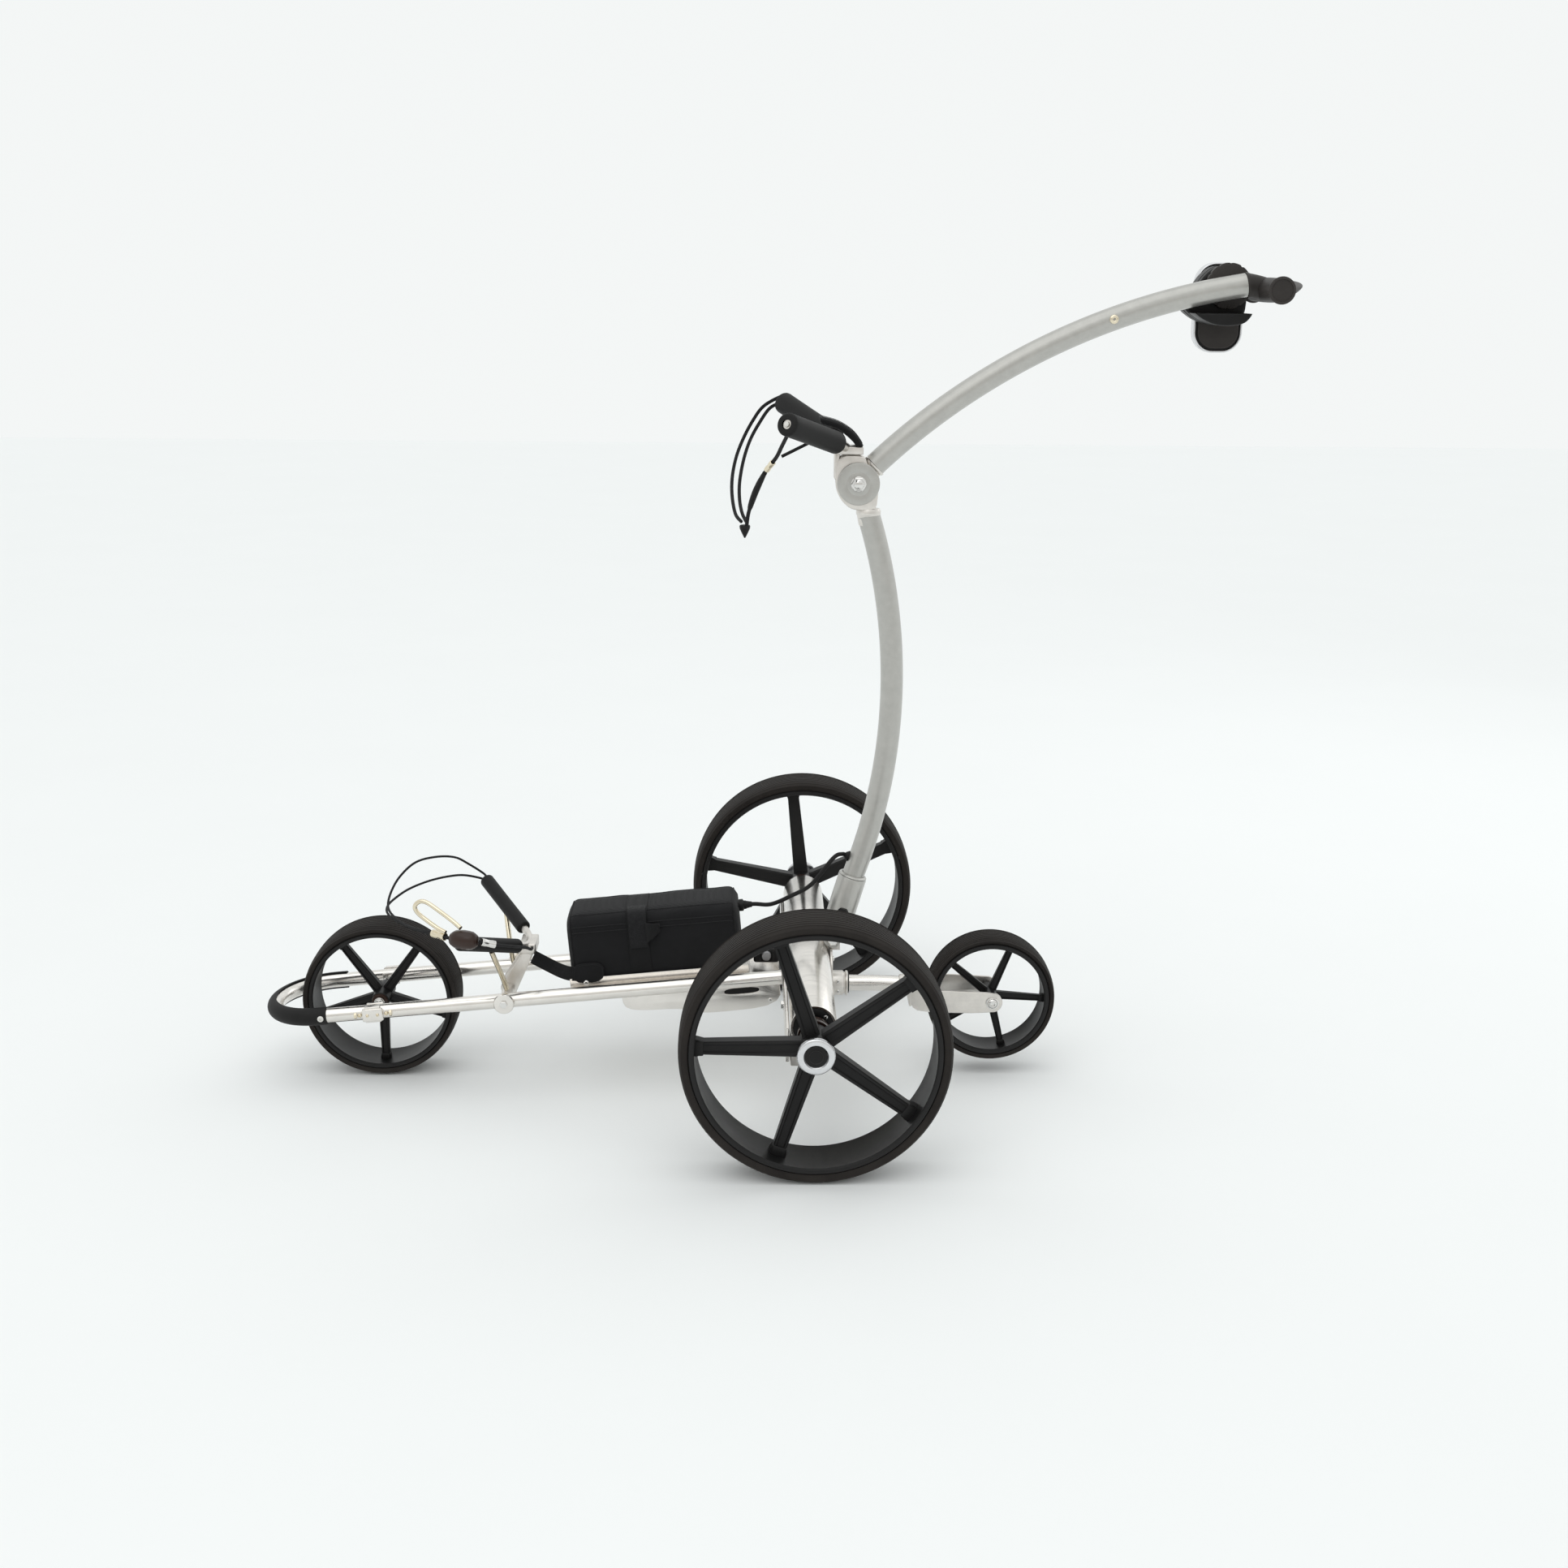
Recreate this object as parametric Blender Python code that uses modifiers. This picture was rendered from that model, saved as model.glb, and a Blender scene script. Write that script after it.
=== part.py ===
"""Electric golf trolley, empty: three wheels, an anti-tip wheel, a folding handle and two bag brackets.

Metres, +Z up, +X forward, +Y to the trolley's left. Points are written in the axle frame, whose origin
is on the floor under the middle of the drive axle. One root empty then moves everything along X, so that
the world origin lies at the middle of the trolley's length.
"""

import math

import bmesh
import bpy
from mathutils import Matrix, Vector

# Driving dimensions
WHEEL_R = 0.145
WHEEL_W = 0.062
TRACK = 0.574
FRONT_R = 0.093
FRONT_W = 0.054
FRONT_X = 0.509
TIP_R = 0.077
TIP_W = 0.044
TIP_AXLE = (-0.220, 0.095)
GAP = 0.0004

RAIL_Y = 0.0605
RAIL_R = 0.0086
RAIL_PITCH = math.radians(5.29)
RAIL_Z = 0.1414
LOOP_U = 0.5785
LOOP_BUMPER = 0.0022

AXLE_R = 0.0255
AXLE_HALF = 0.236
TUBE_R = 0.013
TUBE_WALL = 0.0018
STEM_PIVOT = (-0.0295, 0.166)
LUG_R = 0.0094
SOCKET_TOP = (-0.0521, 0.2438)
SOCKET_R = 0.017
STEM_MID = (-0.0933, 0.4692)
HINGE = (-0.050, 0.7075)
HINGE_R = 0.024
HANDLE_CENTRE = (-0.5888, 0.1815)
HANDLE_ARC_R = 0.7539
HANDLE_END_X = -0.4738
GRIP_AXIS = (-0.4985, 0.9215)
GRIP_HALF = 0.062
GRIP_R = 0.0134
GRIP_REACH = 0.0365

BRACKET_PIVOT_X = 0.356
PRONG_TIP_Y = 0.120

REAR_REACH = GRIP_REACH - GRIP_AXIS[0]
FRONT_REACH = (
    (LOOP_U + RAIL_Y + RAIL_R + LOOP_BUMPER + GAP) * math.cos(RAIL_PITCH)
)
CENTRE_SHIFT = (REAR_REACH - FRONT_REACH) / 2

# Materials: colour, roughness, metallic
FINISHES = {
    "satin_aluminium": ((0.60, 0.58, 0.54), 0.34, 1.0),
    "polished_steel": ((0.72, 0.71, 0.69), 0.16, 1.0),
    "black_plastic": ((0.018, 0.018, 0.019), 0.42, 0.0),
    "grey_plastic": ((0.060, 0.055, 0.053), 0.50, 0.0),
    "tyre_rubber": ((0.030, 0.024, 0.021), 0.72, 0.0),
    "black_rubber": ((0.014, 0.014, 0.014), 0.62, 0.0),
    "black_fabric": ((0.012, 0.012, 0.013), 0.90, 0.0),
    "braided_cord": ((0.020, 0.020, 0.021), 0.85, 0.0),
    "brown_plastic": ((0.050, 0.025, 0.017), 0.40, 0.0),
    "silver_trim": ((0.66, 0.67, 0.69), 0.26, 0.9),
    "brass_steel": ((0.58, 0.50, 0.36), 0.26, 1.0),
    "motor_steel": ((0.30, 0.30, 0.31), 0.45, 0.9),
}

for old in list(bpy.data.objects):
    bpy.data.objects.remove(old, do_unlink=True)

parts = bpy.data.collections.new("electric_golf_trolley")
cutters = bpy.data.collections.new("cutters")
frames = {}
for group in (parts, cutters):
    bpy.context.scene.collection.children.link(group)


def finish(name):
    """A Principled material for one finish, made once."""
    found = bpy.data.materials.get(name)
    if found:
        return found
    colour, roughness, metallic = FINISHES[name]
    made = bpy.data.materials.new(name)
    made.use_nodes = True
    shader = made.node_tree.nodes["Principled BSDF"]
    shader.inputs["Base Color"].default_value = (*colour, 1.0)
    shader.inputs["Roughness"].default_value = roughness
    shader.inputs["Metallic"].default_value = metallic
    made.diffuse_color = (*colour, 1.0)
    return made


def own_finish(obj, name):
    """Each sub-part carries its own copy of its finish."""
    copy = finish(name).copy()
    copy.name = obj.name + "_finish"
    obj.data.materials.append(copy)


def frame_at(name, point, parent=None, pitch=0.0):
    """An empty at a point of the axle frame, on a joint's axis or a tilted plane's origin."""
    empty = bpy.data.objects.new(name, None)
    empty.empty_display_size = 0.03
    parts.objects.link(empty)
    origin = Vector(point)
    if parent:
        empty.parent = frames[parent][0]
        empty.location = origin - frames[parent][1]
    else:
        empty.location = origin
    empty.rotation_euler[1] = pitch
    frames[name] = (empty, origin)
    return empty


def place(obj, frame, point=None, look=None):
    """Parents obj to a frame. point is in the axle frame, or in the frame's own axes on the rail plane."""
    empty, origin = frames[frame]
    obj.parent = empty
    if point is not None:
        tilted = frame == "rail_plane"
        obj.location = Vector(point) if tilted else Vector(point) - origin
    if look:
        obj.rotation_euler = Vector(look).to_track_quat("Z", "Y").to_euler()
    return obj


def add(name, mesh, colour=None, group=None):
    obj = bpy.data.objects.new(name, mesh)
    (group or parts).objects.link(obj)
    if colour:
        own_finish(obj, colour)
    return obj


def helper(name, mesh):
    """A cutter or a piece of a union: wire in the view and never rendered."""
    obj = add(name, mesh, group=cutters)
    obj.hide_render = True
    obj.display_type = "WIRE"
    return obj


def smooth(mesh, angle=35.0):
    mesh.shade_smooth()
    mesh.set_sharp_from_angle(angle=math.radians(angle))


def box_mesh(name, size, centre=(0, 0, 0), bevel=0.0, segments=2):
    work = bmesh.new()
    bmesh.ops.create_cube(work, size=1.0)
    bmesh.ops.scale(work, vec=size, verts=work.verts)
    if bevel:
        bmesh.ops.bevel(work, geom=work.edges[:], offset=bevel, segments=segments, profile=0.5, affect="EDGES")
    bmesh.ops.translate(work, vec=centre, verts=work.verts)
    mesh = bpy.data.meshes.new(name)
    work.to_mesh(mesh)
    work.free()
    return mesh


def rod_mesh(name, radius, length, segments=24, top=None, centre=(0, 0, 0)):
    """A cylinder or cone along Z about its middle."""
    work = bmesh.new()
    upper = radius if top is None else top
    bmesh.ops.create_cone(
        work, cap_ends=True, segments=segments, radius1=radius, radius2=upper, depth=length
    )
    bmesh.ops.translate(work, vec=centre, verts=work.verts)
    mesh = bpy.data.meshes.new(name)
    work.to_mesh(mesh)
    work.free()
    smooth(mesh)
    return mesh


def turned(name, profile, colour, steps=32, group=None):
    """A solid of revolution about Z. profile runs down its outer side: (radius, height) pairs.

    A profile that starts and ends on the axis is a solid; one that closes on itself is a ring.
    """
    mesh = bpy.data.meshes.new(name)
    closed = profile[0] == profile[-1]
    points = profile[:-1] if closed else profile
    ends = [(i, i + 1) for i in range(len(points) - 1)]
    if closed:
        ends.append((len(points) - 1, 0))
    mesh.from_pydata([(r, 0, z) for r, z in points], ends, [])
    obj = add(name, mesh, colour, group)
    screw = obj.modifiers.new("turn", "SCREW")
    screw.steps = steps
    screw.render_steps = steps
    screw.use_merge_vertices = True
    screw.merge_threshold = 0.00002
    screw.use_smooth_shade = True
    return obj


def ring_profile(inner, outer, half, chamfer=0.0):
    """The closed section of a plain ring, outer side first, top to bottom."""
    c = chamfer
    if not c:
        section = [(outer, half), (outer, -half), (inner, -half), (inner, half)]
    else:
        section = [
            (outer - c, half), (outer, half - c), (outer, c - half), (outer - c, -half),
            (inner, -half), (inner, half),
        ]
    return section + section[:1]


def smooth_path(points, spacing, closed=False):
    """Points every spacing along a Catmull-Rom curve through the given ones."""
    knots = [Vector(p) for p in points]
    if closed:
        knots = [knots[-1]] + knots + knots[:2]
    else:
        knots = [knots[0] * 2 - knots[1]] + knots + [knots[-1] * 2 - knots[-2]]
    made = []
    for a, b, c, d in zip(knots, knots[1:], knots[2:], knots[3:]):
        count = max(1, round((c - b).length / spacing))
        for step in range(count):
            t = step / count
            made.append(
                0.5 * (2 * b + (c - a) * t + (2 * a - 5 * b + 4 * c - d) * t**2
                       + (3 * b - a - 3 * c + d) * t**3)
            )
    if not closed:
        made.append(knots[-2])
    return made


def poly_curve(name, points, radius, resolution=4, caps=True):
    data = bpy.data.curves.new(name, "CURVE")
    data.dimensions = "3D"
    data.bevel_depth = radius
    data.bevel_resolution = resolution
    data.use_fill_caps = caps
    data.twist_mode = "MINIMUM"
    spline = data.splines.new("POLY")
    spline.points.add(len(points) - 1)
    for knot, point in zip(spline.points, points):
        knot.co = (*point, 1.0)
    spline.use_smooth = True
    return data


def rod_along(name, points, radius, colour, resolution=3):
    """A solid wire, cord or rail along points."""
    return add(name, poly_curve(name, points, radius, resolution), colour)


def curve_to_mesh(name, data):
    """The mesh of a curve, with its caps welded."""
    holder = bpy.data.objects.new(name + "_curve", data)
    cutters.objects.link(holder)
    graph = bpy.context.evaluated_depsgraph_get()
    mesh = bpy.data.meshes.new_from_object(holder.evaluated_get(graph))
    bpy.data.objects.remove(holder, do_unlink=True)
    work = bmesh.new()
    work.from_mesh(mesh)
    bmesh.ops.remove_doubles(work, verts=work.verts, dist=0.00001)
    work.to_mesh(mesh)
    work.free()
    mesh.name = name
    return mesh


def pipe(name, points, radius, wall, colour, resolution=4):
    """A hollow tube with open ends: its outer skin, thickened inwards."""
    mesh = curve_to_mesh(name, poly_curve(name, points, radius, resolution, caps=False))
    mesh.materials.clear()
    obj = add(name, mesh, colour)
    shell = obj.modifiers.new("wall", "SOLIDIFY")
    shell.thickness = wall
    shell.offset = -1.0
    return obj


def plate_mesh(name, outline, thickness, holes=(), bevel=0.0):
    """A flat plate in XZ, with its thickness centred on Y, from an outline of (x, z) points."""
    data = bpy.data.curves.new(name, "CURVE")
    data.dimensions = "2D"
    data.fill_mode = "BOTH"
    data.extrude = thickness / 2 - bevel
    data.bevel_depth = bevel
    data.bevel_resolution = 0
    data.offset = -bevel
    for loop in (outline, *holes):
        spline = data.splines.new("POLY")
        spline.points.add(len(loop) - 1)
        for knot, (x, z) in zip(spline.points, loop):
            knot.co = (x, z, 0, 1)
        spline.use_cyclic_u = True
    mesh = curve_to_mesh(name, data)
    mesh.transform(Matrix.Rotation(math.radians(90), 4, "X"))
    mesh.materials.clear()
    return mesh


def circle(radius, centre=(0, 0), count=20, start=0.0, sweep=360.0):
    """Points on a circle or an arc, in a plate's outline."""
    last = count if sweep == 360.0 else count - 1
    angles = [math.radians(start + sweep * i / last) for i in range(count)]
    return [(centre[0] + radius * math.cos(a), centre[1] + radius * math.sin(a)) for a in angles]


def join_solids(name, meshes, colour):
    """One solid from overlapping ones, by Boolean union."""
    obj = add(name, meshes[0], colour)
    for index, mesh in enumerate(meshes[1:]):
        other = helper(f"{name}_union_{index}", mesh)
        step = obj.modifiers.new(f"union_{index}", "BOOLEAN")
        step.operation = "UNION"
        step.object = other
        other.parent = obj
    return obj


def cut(obj, name, mesh, point=(0, 0, 0), look=None):
    """Takes a shape, given in obj's own axes, out of obj."""
    cutter = helper(name, mesh)
    cutter.parent = obj
    cutter.location = point
    if look:
        cutter.rotation_euler = Vector(look).to_track_quat("Z", "Y").to_euler()
    step = obj.modifiers.new(name, "BOOLEAN")
    step.object = cutter
    return obj


def turned_mesh(name, profile, steps=32):
    """The mesh of a turned shape, for a union."""
    obj = turned(name + "_turned", profile, None, steps, cutters)
    graph = bpy.context.evaluated_depsgraph_get()
    mesh = bpy.data.meshes.new_from_object(obj.evaluated_get(graph))
    bpy.data.objects.remove(obj, do_unlink=True)
    return mesh


def axle_frame(x, z):
    """A point x along the rails and z above them, as x and z in the axle frame."""
    return (x * math.cos(RAIL_PITCH) + z * math.sin(RAIL_PITCH),
            RAIL_Z - x * math.sin(RAIL_PITCH) + z * math.cos(RAIL_PITCH))


def arc_through(a, b, c, count):
    """Points in XZ on the circle through a, b and c, from a to c."""
    ax, az = a
    bx, bz = b
    cx, cz = c
    d = 2 * (ax * (bz - cz) + bx * (cz - az) + cx * (az - bz))
    ox = ((ax**2 + az**2) * (bz - cz) + (bx**2 + bz**2) * (cz - az) + (cx**2 + cz**2) * (az - bz)) / d
    oz = ((ax**2 + az**2) * (cx - bx) + (bx**2 + bz**2) * (ax - cx) + (cx**2 + cz**2) * (bx - ax)) / d
    start = math.atan2(az - oz, ax - ox) % math.tau
    end = math.atan2(cz - oz, cx - ox) % math.tau
    radius = math.hypot(ax - ox, az - oz)
    angles = [start + (end - start) * i / (count - 1) for i in range(count)]
    return [Vector((ox + radius * math.cos(t), 0, oz + radius * math.sin(t))) for t in angles]


def relative(points, frame):
    origin = frames[frame][1]
    return [Vector(p) - origin for p in points]


def make_frames():
    frame_at("trolley", (0, 0, 0))
    frames["trolley"][0].location.x = CENTRE_SHIFT
    frame_at("rail_plane", (0, 0, RAIL_Z), "trolley", RAIL_PITCH)
    frame_at("left_axis", (0, TRACK / 2, WHEEL_R), "trolley")
    frame_at("right_axis", (0, -TRACK / 2, WHEEL_R), "trolley")
    frame_at("front_axis", (FRONT_X, 0, FRONT_R), "trolley")
    frame_at("arm_slide", (TIP_AXLE[0], 0, TIP_AXLE[1]), "trolley")
    frame_at("tip_axis", (TIP_AXLE[0], 0, TIP_AXLE[1]), "arm_slide")
    frame_at("stem_pivot", (STEM_PIVOT[0], 0, STEM_PIVOT[1]), "trolley")
    frame_at("hinge_axis", (HINGE[0], 0, HINGE[1]), "stem_pivot")
    pivot_z = RAIL_Z - BRACKET_PIVOT_X * math.tan(RAIL_PITCH)
    frame_at("bracket_pivot", (BRACKET_PIVOT_X, 0, pivot_z), "trolley")


def wheel(name, frame, radius, width, rim_r, hub_r, bore_r, spoke_w, turn, steps, hub_half):
    """A five-spoke wheel and its tyre, on its own axle's frame."""
    half = width / 2
    skin = 0.0085 * radius / WHEEL_R + 0.002
    seat = radius - skin
    tyre_profile = [
        (seat + 0.001, half - 0.001), (seat + skin * 0.55, half), (radius - 0.0015, half * 0.80),
        (radius, half * 0.45), (radius, -half * 0.45), (radius - 0.0015, -half * 0.80),
        (seat + skin * 0.55, -half), (seat + 0.001, 0.001 - half), (seat, 0.003 - half), (seat, half - 0.003),
    ]
    tyre = turned(name + "_tyre", tyre_profile + tyre_profile[:1], "tyre_rubber", steps)
    place(tyre, frame, look=(0, 1, 0))
    tyre.location = (0, 0, 0)

    rim_half = half - 0.002
    rim_out = seat - GAP
    rim = turned_mesh(
        name + "_rim_ring",
        ring_profile(rim_r, rim_out, rim_half),
        steps,
    )
    hub = turned_mesh(name + "_hub", ring_profile(bore_r, hub_r, hub_half), 24)
    pieces = [rim, hub]
    reach = rim_r + 0.0012 - (hub_r - 0.002)
    for index in range(5):
        angle = math.radians(turn + 72 * index)
        spoke = box_mesh(
            f"{name}_spoke_{index}", (reach, spoke_w, spoke_w * 0.85),
            (hub_r - 0.002 + reach / 2, 0, 0), bevel=spoke_w * 0.14, segments=1,
        )
        foot = box_mesh(
            f"{name}_foot_{index}", (0.006, spoke_w * 1.35, spoke_w * 1.2),
            (rim_r - 0.001, 0, 0),
        )
        for mesh in (spoke, foot):
            mesh.transform(Matrix.Rotation(angle, 4, "Z"))
            pieces.append(mesh)
    body = join_solids(name + "_wheel", pieces, "black_plastic")
    place(body, frame, look=(0, 1, 0))
    body.location = (0, 0, 0)
    return body


def drive_wheels():
    for side, sign, turn in (("left", 1, 36), ("right", -1, 24)):
        frame = side + "_axis"
        axis = (0, TRACK / 2 * sign, WHEEL_R)
        wheel(side + "_drive", frame, WHEEL_R, WHEEL_W, 0.1275, 0.0165, 0.0068, 0.0155, turn, 44, 0.0245)
        cap = turned(
            side + "_hub_cap",
            [(0, 0.0024), (0.0098, 0.0018), (0.0118, 0.0010), (0.0118, 0.0035), (0.0188, 0.0035), (0.0204, 0.0020),
             (0.0204, -0.0035), (0, -0.0035)],
            "silver_trim", 24,
        )
        place(cap, frame, Vector(axis) + Vector((0, sign * 0.0284, 0)), (0, sign, 0))


def front_wheel():
    wheel("front", "front_axis", FRONT_R, FRONT_W, 0.0795, 0.0105, 0.0044, 0.0098, 54, 36, 0.024)
    bolt = add("front_axle_bolt", rod_mesh("front_axle_bolt", 0.004, 0.1005, 16), "polished_steel")
    place(bolt, "front_axis", (FRONT_X, 0, FRONT_R), (0, 1, 0))


def rails():
    """Both side rails and the front loop, one bent tube, with a bored wall."""
    tail = 0.0320
    half_turn = [
        Vector((LOOP_U + RAIL_Y * math.sin(math.radians(a)), RAIL_Y * math.cos(math.radians(a)), 0))
        for a in range(0, 181, 15)
    ]
    route = [Vector((tail, RAIL_Y, 0)), *half_turn, Vector((tail, -RAIL_Y, 0))]
    place(pipe("side_rails", route, RAIL_R, 0.0015, "satin_aluminium", 3), "rail_plane", (0, 0, 0))

    reach = RAIL_R + GAP
    outer = reach + LOOP_BUMPER
    profile = bpy.data.curves.new("bumper_section", "CURVE")
    profile.dimensions = "2D"
    section = circle(outer, count=7, start=-95, sweep=190) + circle(reach, count=7, start=95, sweep=-190)
    spline = profile.splines.new("POLY")
    spline.points.add(len(section) - 1)
    for knot, (x, z) in zip(spline.points, section):
        knot.co = (-x, z, 0, 1)
    spline.use_cyclic_u = True
    shape = helper("bumper_section", profile)
    data = bpy.data.curves.new("front_bumper", "CURVE")
    data.dimensions = "3D"
    data.bevel_mode = "OBJECT"
    data.bevel_object = shape
    data.use_fill_caps = True
    data.twist_mode = "Z_UP"
    wrap = [Vector((LOOP_U - 0.012, RAIL_Y, 0)), *half_turn, Vector((LOOP_U - 0.012, -RAIL_Y, 0))]
    spline = data.splines.new("POLY")
    spline.points.add(len(wrap) - 1)
    for knot, point in zip(spline.points, wrap):
        knot.co = (*point, 1.0)
    mesh = curve_to_mesh("front_bumper", data)
    mesh.materials.clear()
    work = bmesh.new()
    work.from_mesh(mesh)
    bmesh.ops.recalc_face_normals(work, faces=work.faces)
    work.to_mesh(mesh)
    work.free()
    place(add("front_bumper", mesh, "black_rubber"), "rail_plane", (0, 0, 0))


def tray_and_battery():
    half = 0.0470
    u0, u1 = 0.070, 0.281
    lip = 0.0145
    wall = 0.0018
    floor = 0.0
    section = [
        (-half, floor), (half, floor), (half, lip), (half - wall, lip), (half - wall, wall),
        (wall - half, wall), (wall - half, lip), (-half, lip),
    ]
    tray_mesh = plate_mesh("battery_tray", section, u1 - u0)
    tray_mesh.transform(Matrix.Rotation(math.radians(90), 4, "Z"))
    tray = add("battery_tray", tray_mesh, "satin_aluminium")
    place(tray, "rail_plane", ((u0 + u1) / 2, 0, 0.0))

    length, width, height = 0.2015, 0.0885, 0.0860
    base = 0.0024
    centre = (0.0775 + length / 2, 0, base + height / 2)
    case = add(
        "battery_case",
        box_mesh("battery_case", (length, width, height), bevel=0.021, segments=3),
        "black_fabric",
    )
    place(case, "rail_plane", centre)
    pack_size = (length - 0.022, width - 0.018, height - 0.018)
    room = box_mesh("room", tuple(s + 2 * GAP for s in pack_size), bevel=0.005, segments=1)
    cut(case, "pack_room", room)
    cut(case, "zip_opening", box_mesh("zip", (0.10, 0.020, 0.030), (0.02, 0, -height / 2)))
    pack = add("battery_pack", box_mesh("battery_pack", pack_size, bevel=0.005, segments=1), "black_plastic")
    place(pack, "rail_plane", centre)

    top = base + height + GAP
    band = 0.0012
    side = width / 2 + GAP
    corner = 0.0203
    outer = arch(side + band, lip + GAP, top + band, corner + band)
    inner = arch(side, lip + GAP, top, corner)
    strap_mesh = plate_mesh("battery_strap", outer + inner[::-1], 0.024)
    strap_mesh.transform(Matrix.Rotation(math.radians(90), 4, "Z"))
    strap = add("battery_strap", strap_mesh, "black_fabric")
    place(strap, "rail_plane", (0.196, 0, 0))


def arch(side, foot, top, corner):
    """An upside-down U in (y, n), with rounded shoulders, from the left foot over to the right foot."""
    left = circle(corner, (corner - side, top - corner), 6, 180, -90)
    right = circle(corner, (side - corner, top - corner), 6, 90, -90)
    return [(-side, foot), *left, *right, (side, foot)]


def controller_box():
    """The sheet-metal belly box between the rails, under the tray, with its side slots."""
    bottom = [(0.222, -0.0245), (0.208, -0.0315), (0.150, -0.0335), (0.134, -0.0425), (0.0358, -0.0405)]
    top = -GAP
    outline = [(0.0358, top), (0.222, top), *bottom]
    body = add("controller_box", plate_mesh("controller_box", outline, 0.096), "satin_aluminium")
    place(body, "rail_plane", (0, 0, 0))
    cut(body, "slot_cutter", box_mesh("slot", (0.042, 0.20, 0.0075)), (0.080, 0, -0.0175))


def axle_housing():
    """The cross tube with both motors and drive shafts inside, the front beam and its blocks."""
    axis = (0, 0, WHEEL_R)
    housing_mesh = turned_mesh(
        "axle_housing",
        ring_profile(0.0225, AXLE_R, AXLE_HALF),
        36,
    )
    housing = add("axle_housing", housing_mesh, "satin_aluminium")
    place(housing, "trolley", axis, (0, 1, 0))
    for side, sign in (("left", 1), ("right", -1)):
        motor = rod_mesh("motor", 0.0221, 0.134, 28, centre=(0, 0, 0.1670))
        shaft = rod_mesh("shaft", 0.0063, 0.0900, 20, centre=(0, 0, 0.2655))
        unit = join_solids(side + "_gearmotor", [motor, shaft], "motor_steel")
        place(unit, "trolley", axis, (0, sign, 0))
    beam = add("front_beam", box_mesh("front_beam", (0.004, 0.440, 0.040), bevel=0.001, segments=1),
               "satin_aluminium")
    place(beam, "trolley", (AXLE_R + 0.0025, 0, WHEEL_R - 0.0265))


def anti_tip():
    """The collar on the rear plate, and the plug-in arm with its fork, bolt and wheel."""
    arm_z = 0.1090
    rear = -AXLE_R - GAP
    plate_outline = [(-0.034, 0.088), (0.034, 0.088), (0.034, 0.1560), (-0.034, 0.1560)]
    plate = plate_mesh("rear_plate", plate_outline, 0.003)
    plate.transform(Matrix.Rotation(math.radians(90), 4, "Z"))
    plate.transform(Matrix.Translation((rear - 0.0015, 0, 0)))
    start, end = rear - 0.0010, -0.0475
    collar = turned_mesh("collar", ring_profile(0.0060, 0.0148, (start - end) / 2, 0.0012), 32)
    collar.transform(Matrix.Rotation(math.radians(90), 4, "Y"))
    collar.transform(Matrix.Translation(((start + end) / 2, 0, arm_z)))
    px, pz = STEM_PIVOT
    lug_outline = [*circle(LUG_R, STEM_PIVOT, 11, -20, 205), (px - 0.0090, 0.1522), (px + 0.0095, 0.1522)]
    lug = plate_mesh("pivot_lug", lug_outline, 0.0100)
    back = join_solids("rear_bracket", [plate, collar, lug], "satin_aluminium")
    place(back, "trolley", (0, 0, 0))
    cut(back, "arm_bore", rod_mesh("bore", 0.0099, 0.06, 28), (rear, 0, arm_z), (1, 0, 0))
    cut(back, "axle_clearance", rod_mesh("clear", AXLE_R + GAP, 0.08, 48), (0, 0, WHEEL_R), (0, 1, 0))
    cut(back, "pin_bore", rod_mesh("bore", 0.0036, 0.03, 16), (px, 0, pz), (0, 1, 0))

    route = [(0.0235, 0, arm_z), (-0.060, 0, arm_z), (-0.090, 0, arm_z - 0.0004), (-0.118, 0, arm_z - 0.0020)]
    tube = pipe("anti_tip_arm", relative(smooth_path(route, 0.012), "arm_slide"), 0.0095, 0.0018,
                "satin_aluminium", 4)
    place(tube, "arm_slide", frames["arm_slide"][1])

    hx, hz = TIP_AXLE
    left = -0.1210
    side = 0.0290
    outline = [
        (left, 0.1175), (left - 0.002, 0.0905), (left - 0.012, 0.0835), (hx + 0.03, 0.0815),
        *circle(0.0122, TIP_AXLE, 9, 260, -160), (hx + 0.03, 0.1090), (left - 0.020, 0.1110),
    ]
    cheeks = []
    for index, sign in enumerate((1, -1)):
        cheek = plate_mesh(f"cheek_{index}", outline, 0.0036)
        cheek.transform(Matrix.Translation((-hx, sign * side, -hz)))
        cheeks.append(cheek)
    web = box_mesh("web", (0.0036, 2 * side + 0.0036, 0.0270), (left - 0.0012 - hx, 0, 0.1040 - hz), 0.0008, 1)
    fork = join_solids("anti_tip_fork", [web, *cheeks], "satin_aluminium")
    place(fork, "arm_slide", frames["arm_slide"][1])
    cut(fork, "fork_bore", rod_mesh("bore", 0.0037, 0.09, 16), look=(0, 1, 0))

    wheel("tip", "tip_axis", TIP_R, TIP_W, 0.0636, 0.0085, 0.0038, 0.0076, -4, 32, 0.0200)
    half = side + 0.0022
    bolt = turned(
        "tip_axle_bolt",
        [(0, half + 0.0048), (0.0038, half + 0.0042), (0.0062, half + 0.0012), (0.0062, half),
         (0.0034, half), (0.0034, -half), (0.0062, -half), (0.0062, -half - 0.0035), (0, -half - 0.0035)],
        "polished_steel", 16,
    )
    place(bolt, "arm_slide", frames["arm_slide"][1], (0, 1, 0))


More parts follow.
